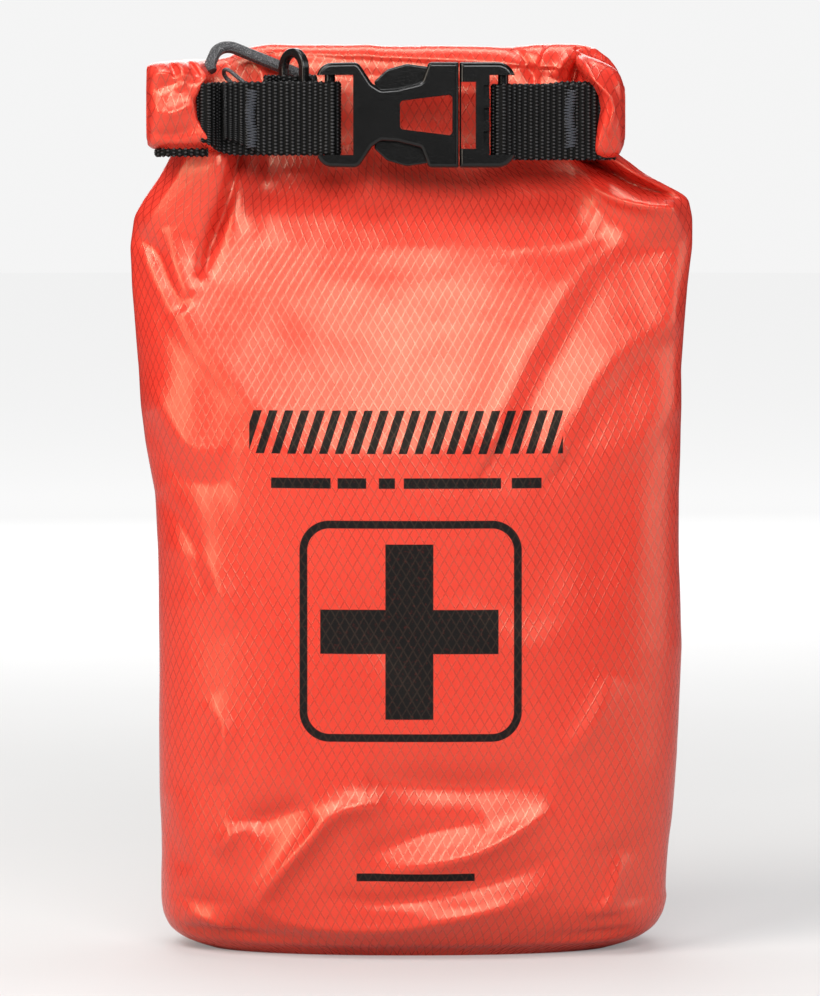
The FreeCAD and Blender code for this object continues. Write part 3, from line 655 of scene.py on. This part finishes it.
def spread(coarse, size):
    """A coarse field over the bag brought smoothly to its full grid; it closes on itself around."""
    rows, columns = size
    fine_row = np.arange(rows) / SETTLE_STEP
    fine_column = np.arange(columns) / SETTLE_STEP

    def along(field, places, closed):
        count = len(field)
        first = np.floor(places).astype(int)
        part = (places - first)[:, None, None]
        taps = []
        for step in (-1, 0, 1, 2):
            index = first + step
            taps.append(field[index % count if closed else np.clip(index, 0, count - 1)])
        return through_four(*taps, part)

    tall = along(coarse, fine_row, False)
    wide = along(tall.transpose(1, 0, 2), fine_column, True)
    return wide.transpose(1, 0, 2)


def make_bag():
    points = bag_sections()
    flat = points.reshape(-1, 3).copy()
    share = np.tile(np.arange(BAG_COLUMNS) / BAG_COLUMNS, BAG_ROWS)
    height = np.repeat(np.linspace(0, 1, BAG_ROWS), BAG_COLUMNS)
    x, z = flat[:, 0], flat[:, 2]
    facing = np.sin(2 * math.pi * share)
    front = smooth(facing * 7)
    back = smooth(-facing * 7)
    ease = smooth(z / 6.0)
    lift = (front_folds(x, z) * front + back_folds(x, z) * back) * ease
    ripple = 0.50 * soft_noise(share, height, 14, 9, 3) + 0.16 * soft_noise(share, height, 34, 22, 4)
    ripple += 0.04 * soft_noise(share, height, 80, 52, 5)
    upper = smooth((z - 150) / 90)
    lift += ripple * ease * (0.8 + 0.7 * upper)
    flat[:, 1] += -lift * np.clip(facing * 7, -1, 1)
    side = 1 - np.abs(facing)
    flat[:, 0] += 0.5 * ripple * side ** 2 * np.sign(-np.cos(2 * math.pi * share))
    # The left end of the neck comes forwards under the folded roll, and the right end a little.
    top = smooth((z - 228) / 30)
    flat[:, 1] -= 14.0 * top * smooth((-46 - x) / 16) * (0.55 + 0.45 * front)
    flat[:, 1] -= 9.0 * top * smooth((x - 52) / 14) * (0.55 + 0.45 * front)
    flat += settle(flat.reshape(BAG_ROWS, BAG_COLUMNS, 3))
    cloth = np.stack([share * BAG_ROUND, z], 1)
    piece = mesh_piece("bag_cloth", flat, grid_faces(BAG_ROWS, BAG_COLUMNS, True), cloth)
    set_seam(piece, BAG_ROWS, BAG_COLUMNS, BAG_ROUND)
    add_print_map(piece, x, z, facing)
    return piece


def add_print_map(piece, x, z, facing):
    """Where each point lies behind the print; points of the back are put far away from it."""
    mesh = piece.data
    layer = mesh.uv_layers.new(name="print")
    shown = np.stack([np.where(facing > 0, x, 900.0), z], 1)
    corner = np.zeros(len(mesh.loops), int)
    mesh.loops.foreach_get("vertex_index", corner)
    layer.data.foreach_set("uv", shown[corner].astype(np.float32).ravel())


def make_base():
    """The oval bottom: a shallow dish whose edge meets the first row of the bag."""
    rim = bag_sections()[0]
    rings = [rim * (1 - 0.0005), *(rim * np.array([s, s, 1]) for s in (0.96, 0.8, 0.6, 0.4, 0.2, 0.02))]
    rings = [ring + np.array([0, 0, lift]) for ring, lift in zip(rings, (0, 0.1, 0.9, 1.2, 1.2, 1.2, 1.2))]
    points = np.vstack(rings)
    faces = [face[::-1] for face in grid_faces(len(rings), BAG_COLUMNS, True)]
    faces.append(list(range((len(rings) - 1) * BAG_COLUMNS, len(rings) * BAG_COLUMNS))[::-1])
    return mesh_piece("bag_base", points, faces, points[:, :2])


# ================================================================ the rolled mouth

# Along the roll from left to right: x, lowest, highest, foremost and rearmost points of its section.
ROLL_PROFILE = np.array([
    (-84.5, 262.6, 287.8, -19.0, -13.0),
    (-84.0, 261.6, 288.5, -22.4, -6.0),
    (-83.0, 261.0, 288.9, -25.0, 2.0),
    (-81.0, 260.6, 289.2, -26.6, 9.0),
    (-77.0, 260.2, 289.6, -27.0, 14.6),
    (-72.0, 260.2, 290.0, -26.8, 17.0),
    (-68.4, 260.4, 290.0, -26.2, 17.0),
    (-67.2, 260.4, 290.0, -24.6, 17.0),
    (-66.2, 260.4, 290.0, -9.0, 17.0),
    (-64.6, 260.2, 290.2, -3.0, 17.0),
    (-60.0, 260.0, 291.0, -1.8, 17.0),
    (-54.0, 259.8, 294.0, -1.6, 17.0),
    (-46.0, 259.6, 295.4, -1.6, 17.2),
    (-10.0, 259.4, 295.0, -1.6, 17.4),
    (30.0, 259.4, 294.4, -1.8, 17.4),
    (44.0, 259.4, 295.2, -2.2, 17.2),
    (54.0, 259.0, 295.4, -3.4, 17.0),
    (58.6, 258.4, 294.6, -7.0, 17.0),
    (60.2, 257.8, 293.8, -20.0, 16.8),
    (61.6, 257.4, 292.6, -26.6, 16.4),
    (64.6, 257.4, 290.6, -27.0, 14.0),
    (67.4, 258.6, 287.0, -25.4, 8.0),
    (68.6, 261.0, 283.6, -22.0, 0.0),
    (69.0, 264.0, 280.0, -18.0, -8.0),
])
# How boxy the roll's section is, and how much more where its ends fold forwards.
ROLL_BOXY, FOLDED_BOXY = 2.7, 1.6
CAP_RINGS = 26
CAP_TURNS = 4.0
ROLL_COLUMNS = 170
ROLL_STEP = 0.45
ROLL_ROUND = 17 * 5.3


def roll_folds(x, z):
    """Folds on the roll's front, over x and z."""
    on = Relief(x, z)
    # Right end: a pulled pleat, a deep pucker and the creases that run into it.
    on.step([(46.6, 297), (42.6, 291.5), (41, 285), (42, 280)], 2.8, 0.6, 10, ends=(0.6, 1.0))
    on.fold([(33, 296), (37, 290), (41, 284)], -1.8, 2.0, ends=(0.6, 1.0))
    on.fold([(62.4, 292), (57.4, 290.6), (54.4, 287.4), (53, 282.6)], -6.0, 1.5, ends=(0.4, 1.0))
    on.fold([(53.6, 293.8), (56.8, 293.6), (60.6, 294.4)], -2.2, 1.2, ends=(0.3, 1.0))
    on.fold([(52, 291.6), (49, 288), (47.6, 284)], 1.8, 1.8)
    on.fold([(58.4, 288.6), (62, 283), (64.6, 276), (64.6, 266)], 2.4, 1.6, ends=(1.0, 0.3))
    on.fold([(61.5, 291.4), (66, 284), (67.4, 272)], -1.4, 1.6, ends=(1.0, 0.2))
    on.fold([(62, 268), (65.4, 263), (67, 259)], -1.2, 1.8)
    # Middle: one long soft fold where the outer turn of cloth lies over the next.
    on.step([(-44, 292.2), (0, 290), (40, 287.6)], 1.3, 0.7, 9, ends=(0.6, 1.0))
    on.fold([(-50, 283), (-10, 284.6), (30, 280)], -1.0, 4.0)
    on.fold([(-52, 292), (-48, 284), (-50, 274)], 1.6, 2.4)
    # Left end: crumples above, and pulls towards the strap.
    for top, foot, deep in (((-78.4, 290.4), (-76.4, 283.6), -2.6), ((-72.6, 291.0), (-70.2, 284.4), -2.8),
                            ((-68.8, 291.0), (-66.6, 285.6), -2.2)):
        on.fold([top, ((top[0] + foot[0]) / 2 + 0.6, (top[1] + foot[1]) / 2), foot], deep, 1.2,
                ends=(1.0, 0.0))
    on.fold([(-75.6, 290.4), (-74, 286.4), (-74.4, 280)], 1.8, 1.5, ends=(0.8, 0.0))
    on.fold([(-83, 279), (-76, 282.4), (-68, 285)], -1.5, 1.8)
    on.fold([(-84, 284), (-79, 285.4), (-74, 284)], 1.5, 1.6)
    on.fold([(-84, 274), (-76, 272.4), (-68, 276)], 1.2, 2.4)
    on.fold([(-84, 266), (-76, 265.8), (-66.5, 270)], -1.4, 2.2)
    on.fold([(-72, 262), (-68, 266), (-66, 272)], 1.2, 2.0)
    return on.lift


def fold_edges(points):
    """How far the two folded ends' inner edges are from straight, over the height of the roll."""
    x, y, z = points.T
    fore = smooth((-4 - y) / 6)
    left = np.interp(z, [258, 261, 266, 271, 277, 284, 288, 292], [9.0, 7.0, 2.4, -0.6, -1.2, 2.8, 0.6, -1.0])
    right = np.interp(z, [256, 261, 268, 274, 278, 282, 287, 292],
                      [-3.0, -2.0, -0.6, 0.6, -0.2, -2.4, -5.0, -6.6])
    near_left = smooth((x + 83) / 13) * smooth((-58 - x) / 7)
    near_right = smooth((x - 52) / 6) * smooth((69 - x) / 6)
    return fore * (left * near_left + right * near_right)


def roll_sections():
    """Points of the roll before its folds, row by row from left to right."""
    profile = ROLL_PROFILE
    x_rows = np.arange(profile[0, 0], profile[-1, 0] + 0.01, ROLL_STEP)
    low, high, front, back = (np.interp(x_rows, profile[:, 0], profile[:, n]) for n in range(1, 5))
    kernel = np.hanning(7)
    kernel /= kernel.sum()
    low, high, front, back = (np.convolve(np.pad(v, 3, mode="edge"), kernel, "valid")
                              for v in (low, high, front, back))
    rows = []
    turn = np.linspace(0, 2 * math.pi, 721)
    cos, sin = np.cos(turn), np.sin(turn)
    for x, l, h, f, b in zip(x_rows, low, high, front, back):
        boxy = ROLL_BOXY + FOLDED_BOXY * smooth((f + 8) / -12)
        y = (f + b) / 2 + (b - f) / 2 * rounded(cos, boxy)
        z = (l + h) / 2 - (h - l) / 2 * rounded(sin, boxy)
        run = np.concatenate([[0], np.cumsum(np.hypot(np.diff(y), np.diff(z)))])
        wanted = np.linspace(0, run[-1], ROLL_COLUMNS, endpoint=False)
        rows.append(np.stack([np.full(ROLL_COLUMNS, x), np.interp(wanted, run, y),
                              np.interp(wanted, run, z)], 1))
    return np.array(rows)


def make_roll():
    points = roll_sections()
    rows = len(points)
    share = np.tile(np.arange(ROLL_COLUMNS) / ROLL_COLUMNS, rows)
    along = np.repeat(np.linspace(0, 1, rows), ROLL_COLUMNS)
    flat = points.reshape(-1, 3).copy()
    facing = -np.cos(2 * math.pi * share)
    forward = smooth(facing * 2.0 + 0.5)
    lift = roll_folds(flat[:, 0], flat[:, 2]) * forward
    ripple = 0.30 * soft_noise(share, along, 7, 22, 11) + 0.10 * soft_noise(share, along, 16, 60, 12)
    flat[:, 1] -= lift + ripple * facing
    flat[:, 2] -= ripple * np.sin(2 * math.pi * share) * 0.8
    flat[:, 0] += fold_edges(flat)
    ends = [end_cap(points[0], -1), end_cap(points[-1], 1)]
    count = len(flat)
    faces = grid_faces(rows, ROLL_COLUMNS, True)
    cloth = np.stack([flat[:, 0], share * ROLL_ROUND], 1)
    blocks, maps = [flat], [cloth]
    for (cap, cap_map), edge in zip(ends, (0, rows - 1)):
        ring = np.arange(ROLL_COLUMNS)
        start = count
        after = np.roll(ring, -1)
        first = edge * ROLL_COLUMNS
        join = np.stack([first + ring, start + ring, start + after, first + after], -1)
        inner = np.array(grid_faces(len(cap) // ROLL_COLUMNS, ROLL_COLUMNS, True)) + start
        if edge == 0:
            inner = inner[:, ::-1]
        else:
            join = join[:, ::-1]
        faces += join.tolist() + inner.tolist()
        last = start + len(cap) - ROLL_COLUMNS + ring
        faces.append((last if edge else last[::-1]).tolist())
        blocks.append(cap)
        maps.append(cap_map)
        count += len(cap)
    piece = mesh_piece("roll_cloth", np.vstack(blocks), faces, np.vstack(maps))
    set_seam(piece, rows, ROLL_COLUMNS, ROLL_ROUND, 1)
    fix_normals(piece)
    return piece


def end_cap(ring, side):
    """The roll's end: turns of cloth wound into a flat spiral, drawn in a little to the middle."""
    centre = ring.mean(0)
    rings = []
    for number in range(1, CAP_RINGS + 1):
        share = number / CAP_RINGS
        size = 1 - 0.97 * share
        layer = centre + (ring - centre) * size
        angle = np.arctan2(ring[:, 2] - centre[2], ring[:, 1] - centre[1])
        turns = CAP_TURNS * (1 - share) - angle / (2 * math.pi)
        groove = np.abs(np.mod(turns, 1.0) - 0.5) * 2
        depth = 1.6 * smooth(groove * 1.6 - 0.7) * smooth(share * 5) * (1 - smooth(share * 6 - 5))
        puff = 1.2 * math.sin(math.pi * min(1, share * 2) / 2) - 3.2 * smooth(share)
        layer = layer.copy()
        layer[:, 0] += side * (puff - depth)
        rings.append(layer)
    points = np.vstack(rings)
    return points, points[:, 1:]


def fix_normals(piece):
    import bmesh
    working = bmesh.new()
    working.from_mesh(piece.data)
    bmesh.ops.recalc_face_normals(working, faces=working.faces)
    working.to_mesh(piece.data)
    working.free()
    piece.data.shade_smooth()


# ================================================================ webbing and thread

# Spacing of the webbing's ribs along it and of the loops of yarn across it.
RIB = 1.85
LOOP = 1.08


def ribbon(name, plan, wide, centre_z, thick=WEBBING_THICK, trim=None):
    """Webbing that stands on edge along a plan curve, with woven ribs across it in real relief.

    trim gives, for a share of the length and of the width, how far the edge is drawn in."""
    line = curve_through(plan, 40 * len(plan))
    run = np.concatenate([[0], np.cumsum(np.hypot(*np.diff(line, axis=0).T))])
    places = np.arange(0, run[-1], 0.3)
    x, y = np.interp(places, run, line[:, 0]), np.interp(places, run, line[:, 1])
    dx, dy = np.gradient(x), np.gradient(y)
    size = np.hypot(dx, dy)
    nx, ny = dy / size, -dx / size
    across = np.concatenate([np.linspace(-1, 1, 74), [1.0], np.linspace(1, -1, 74), [-1.0]])
    face = np.concatenate([np.ones(74), [0.0], -np.ones(74), [0.0]])
    points, cloth = [], []
    for number, place in enumerate(places):
        up = across * wide / 2
        rib = np.cos(2 * math.pi * (place / RIB))
        stagger = np.where(np.floor(place / RIB + 0.5) % 2 > 0, 0.5, 0.0)
        dots = np.cos(2 * math.pi * (up / LOOP + stagger))
        relief = 0.20 * rib + 0.13 * dots * (0.4 + 0.6 * rib)
        edge = np.clip((1 - np.abs(across)) * wide / 2 / 0.9, 0, 1)
        half = (thick / 2 * np.sqrt(1 - (1 - edge) ** 2) * 0.94 + relief * smooth(edge)) * face
        scallop = 0.22 * rib * (1 - smooth(edge * 0.8)) * np.sign(across)
        shift = trim(place / run[-1], across) if trim else 0.0
        points.append(np.stack([x[number] + nx[number] * half, y[number] + ny[number] * half,
                                centre_z + up + scallop + shift], 1))
        cloth.append(np.stack([np.full(len(up), place), up + 60 * (face < 0)], 1))
    points, cloth = np.array(points), np.array(cloth)
    count = len(across)
    piece = mesh_piece(name, points.reshape(-1, 3), closed_tube(len(points), count), cloth.reshape(-1, 2))
    fix_normals(piece)
    return piece


def bar_wrap(bar_x, side, radius=2.75):
    """Plan points of webbing round a buckle bar, from the back layer to the front one."""
    angles = np.radians((95, 55, 0, -55, -95))
    return [(bar_x - side * radius * math.cos(a), BUCKLE_Y + radius * math.sin(a)) for a in angles]


def make_straps():
    back, front = BUCKLE_Y + 0.78, BUCKLE_Y - 0.78
    left_plan = [(-70.5, -19.0), (-68.4, -22.6), (-66.6, -24.9), (-64.6, -25.2), (-63.0, -23.4),
                 (-61.8, -20.9), (-59.4, -20.0), (-55.0, back), (-50.0, back), (-36.0, back),
                 (-30.2, back + 0.4),
                 *bar_wrap(FEMALE_BAR_X, -1), (-30.2, front - 0.4), (-36.0, front), (-50.0, front),
                 (-54.0, front - 0.2), (-57.0, front - 1.0), (-59.6, front - 2.4)]

    def pinched(share, across):
        """The left strap is drawn together where it leaves the roll; its lower edge rises most."""
        ends = smooth((0.22 - share) / 0.2) + smooth((share - 0.84) / 0.16)
        return ends * np.where(across < 0, 5.2, 0.6) * np.abs(across) * -np.sign(across)

    left = ribbon("left_strap_webbing", left_plan, 23.6, STRAP_Z - 0.9, trim=pinched)
    right_plan = [(66.0, -16.0), (60.0, -19.6), (56.0, back + 0.2), (52.0, back), (42.0, back),
                  (34.6, back + 0.4), *bar_wrap(MALE_BAR_X, 1, 3.2), (34.6, front - 0.4), (42.0, front),
                  (52.0, front), (56.5, front - 0.1), (60.0, front + 0.8), (63.0, front + 3.4),
                   (65.0, front + 6.0)]

    def spread_end(share, across):
        """The right strap's back layer peeks out above the front one."""
        return 0.9 * smooth((0.3 - share) / 0.1) * np.where(across > 0, 1.0, 0.0)

    right = ribbon("right_strap_webbing", right_plan, 24.2, STRAP_Z - 2.0, trim=spread_end)
    keeper_box = [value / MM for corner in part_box("ring_keeper") for value in corner]
    low, high = keeper_box[:3], keeper_box[3:]
    keeper_plan = [(low[0] + 0.7, low[1] + 0.2), (-44.6, -17.6), (-42.8, -14.5), (-40.0, -14.1),
                   (-34.0, -14.1), (-31.4, -14.5), (-30.7, -17.5), (-30.6, low[1] + 0.2)]
    keeper = ribbon("keeper_webbing", keeper_plan, high[2] - low[2], (high[2] + low[2]) / 2, 1.2)
    return left, right, keeper


def make_mouth_webbing():
    """The mouth's own webbing, turned under the left fold, where its edge shows."""
    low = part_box("mouth_webbing")[0].z / MM
    plan = [(-81.6, -12.0), (-81.2, -19.0), (-79.0, -22.6), (-75.0, -23.6), (-70.0, -23.4), (-65.0, -21.6)]
    return ribbon("mouth_webbing_edge", plan, 2.6, low + 1.3, 1.5)


def tube(name, points, radius, sides=8):
    """A round thread or wire along points."""
    points = np.array(points, float)
    along = np.gradient(points, axis=0)
    along /= np.linalg.norm(along, axis=1)[:, None]
    up = np.array([0.0, 1.0, 0.0])
    first = np.cross(along, up)
    first /= np.linalg.norm(first, axis=1)[:, None]
    second = np.cross(along, first)
    turn = np.linspace(0, 2 * math.pi, sides, endpoint=False)
    rings = points[:, None] + radius * (first[:, None] * np.cos(turn)[None, :, None]
                                        + second[:, None] * np.sin(turn)[None, :, None])
    piece = mesh_piece(name, rings.reshape(-1, 3), closed_tube(len(points), sides))
    fix_normals(piece)
    return piece


TACK_STITCHES = 40
TACK_HIGH = 18.4


def make_bartack(name, x, seed):
    """A dense zigzag of thread on both faces of a strap."""
    random = np.random.default_rng(seed)
    runs = []
    low = STRAP_Z - 1.0 - TACK_HIGH / 2
    for side in (-1, 1):
        depth = BUCKLE_Y + side * (WEBBING_THICK + 0.30)
        for number in range(TACK_STITCHES):
            height = low + number * TACK_HIGH / TACK_STITCHES
            sway = 0.35 * math.sin(number * 0.21) + random.uniform(-0.12, 0.12)
            half = 1.55 + random.uniform(-0.15, 0.15)
            for end, bow in ((-1, 0.0), (-0.55, 0.16), (0, 0.2), (0.55, 0.16), (1, 0.0)):
                direction = end if number % 2 == 0 else -end
                runs.append((x + sway + direction * half, depth + side * bow,
                             height + (end + 1) * 0.5 * TACK_HIGH / TACK_STITCHES))
        if side < 0:
            runs += [(x - 1.2, BUCKLE_Y, runs[-1][2] + 0.5)]
            low = runs[-1][2] - TACK_HIGH - 0.4
    return tube(name, runs, 0.2, 6)


# ================================================================ putting the pieces in place

def assign(piece, material):
    piece.data.materials.clear()
    piece.data.materials.append(material)


bag = make_bag()
base = make_base()
roll = make_roll()
left_strap, right_strap, keeper = make_straps()
mouth_edge = make_mouth_webbing()
left_tack = make_bartack("left_bartack_thread", -51.0, 31)
right_tack = make_bartack("right_bartack_thread", 51.4, 32)

plain_cloth = ripstop("ripstop_plain", False)
assign(bag, ripstop("ripstop_printed", True))
assign(base, plain_cloth)
assign(roll, plain_cloth)
weave = webbing_material()
for piece in (left_strap, right_strap, keeper, mouth_edge):
    assign(piece, weave)
thread = thread_material()
assign(left_tack, thread)
assign(right_tack, thread)

buckle = moulded_plastic("buckle_plastic", 0.004, 0.17, 0.25, 1700.0, 0.10)
glossy = moulded_plastic("ring_plastic", 0.007, 0.20, 0.28, 900.0, 0.06)
coat = speckled_coat()
# Pieces inside the bag: each one's material, colour and roughness.
inner = {
    "bandage_carton": ("carton_board", (0.78, 0.74, 0.64), 0.8),
    "tape_core": ("core_board", (0.62, 0.52, 0.38), 0.85),
    "gauze_pads": ("pad_paper", (0.88, 0.88, 0.85), 0.7),
    "wipe_sachets": ("sachet_paper", (0.85, 0.87, 0.9), 0.45),
    "gauze_rolls": ("gauze_weave", (0.9, 0.89, 0.85), 0.9),
    "triangular_bandage": ("calico", (0.88, 0.85, 0.77), 0.9),
    "elastic_bandage": ("crepe", (0.78, 0.62, 0.45), 0.9),
    "tape_roll": ("tape_cloth", (0.86, 0.85, 0.81), 0.75),
    "gloves_pouch": ("glove_film", (0.35, 0.5, 0.78), 0.3),
    "blanket_pouch": ("foil_film", (0.7, 0.7, 0.72), 0.28),
    "base_seam_tape": ("base_tape", (0.7, 0.12, 0.08), 0.35),
    "back_seam_tape": ("back_tape", (0.7, 0.12, 0.08), 0.35),
    "front_stiffener": ("strip_front", (0.7, 0.7, 0.66), 0.4),
    "back_stiffener": ("strip_back", (0.7, 0.7, 0.66), 0.4),
}
for node, (name, colour, rough) in inner.items():
    assign(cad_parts[node], plain_inner(name, rgb(*colour), rough))
for node in ("buckle_female", "buckle_male", "upper_prong", "lower_prong"):
    assign(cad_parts[node], buckle)
assign(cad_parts["accessory_ring"], glossy)
assign(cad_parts["carabiner_hook"], coat)
assign(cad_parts["carabiner_gate"], coat)

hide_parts("body_panel")
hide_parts("base_panel")
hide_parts("rolled_collar")
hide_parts("left_strap")
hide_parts("right_strap")
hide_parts("ring_keeper")
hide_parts("mouth_webbing")
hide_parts("left_bartack")
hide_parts("right_bartack")
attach(base, "bag")
for piece in (roll, left_strap, keeper, mouth_edge, left_tack):
    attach(piece, "roll")
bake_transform(bag)
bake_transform(right_strap)
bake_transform(right_tack)


# ================================================================ studio

FLOOR_RINGS = (9000.0, 1600.0, 400.0, 60.0, 5.0)
FLOOR_SIDES = 96


def wide_floor():
    """A large round floor, so that every view round the object sees it."""
    turn = np.linspace(0, 2 * math.pi, FLOOR_SIDES, endpoint=False)
    points = np.vstack([np.stack([r * np.cos(turn), r * np.sin(turn), 0 * turn], 1) for r in FLOOR_RINGS])
    faces = grid_faces(len(FLOOR_RINGS), FLOOR_SIDES, True)
    faces.append(list(range(len(points) - len(turn), len(points))))
    return mesh_piece("studio_floor", points, faces)


def softbox(name, place, target, wide, tall, power, tint=(1, 1, 1)):
    light = bpy.data.lights.new(name, "AREA")
    light.shape = "RECTANGLE"
    light.size, light.size_y = wide, tall
    light.energy = power
    light.color = tint
    lamp = bpy.data.objects.new(name, light)
    bpy.context.scene.collection.objects.link(lamp)
    lamp.visible_camera = False
    lamp.location = place
    lamp.rotation_euler = (Vector(target) - Vector(place)).to_track_quat("-Z", "Y").to_euler()
    return lamp


floor = wide_floor()
assign(floor, floor_material())
middle = (0.0, 0.0, 0.16)
softbox("high_key", (-0.80, -0.80, 1.45), middle, 0.80, 0.60, 15.5)
softbox("front_glow", (0.14, -1.07, 0.70), middle, 0.90, 0.38, 9.6)
softbox("top_strip", (0.0, 0.35, 1.60), middle, 1.20, 0.50, 12.0)
softbox("left_box", (-1.05, -0.75, 0.60), middle, 0.5, 0.9, 7.6, (1.0, 0.88, 0.74))
softbox("right_box", (1.30, -0.20, 0.45), middle, 0.9, 1.0, 5.0)
softbox("back_fill", (-0.15, 1.60, 0.80), middle, 1.00, 0.80, 9.0)

world = bpy.context.scene.world or bpy.data.worlds.new("studio")
bpy.context.scene.world = world
world.use_nodes = True
backdrop = world.node_tree.nodes["Background"]
backdrop.inputs["Color"].default_value = (1, 1, 1, 1)
seen = world.node_tree.nodes.new("ShaderNodeLightPath")
level = world.node_tree.nodes.new("ShaderNodeMapRange")
level.inputs["To Min"].default_value = AMBIENT
level.inputs["To Max"].default_value = PALE
world.node_tree.links.new(seen.outputs["Is Camera Ray"], level.inputs["Value"])
world.node_tree.links.new(level.outputs["Result"], backdrop.inputs["Strength"])
bpy.context.scene.view_settings.view_transform = "Standard"

FIELD_WIDE = 263.4
DISTANCE = 1600.0
ELEVATION = math.radians(4.0)
AIM = (0.0, -30.0, 149.3)
SENSOR = 36.0
lens = bpy.data.cameras.new("camera")
lens.sensor_fit = "HORIZONTAL"
lens.sensor_width = SENSOR
lens.lens = SENSOR * DISTANCE / FIELD_WIDE
lens.clip_start, lens.clip_end = 0.05, 20.0
camera = bpy.data.objects.new("camera", lens)
bpy.context.scene.collection.objects.link(camera)
aim = Vector(AIM) * MM
back_off = Vector((0.0, -math.cos(ELEVATION), math.sin(ELEVATION))) * DISTANCE * MM
camera.location = aim + back_off
camera.rotation_euler = (-back_off).to_track_quat("-Z", "Y").to_euler()
bpy.context.scene.camera = camera
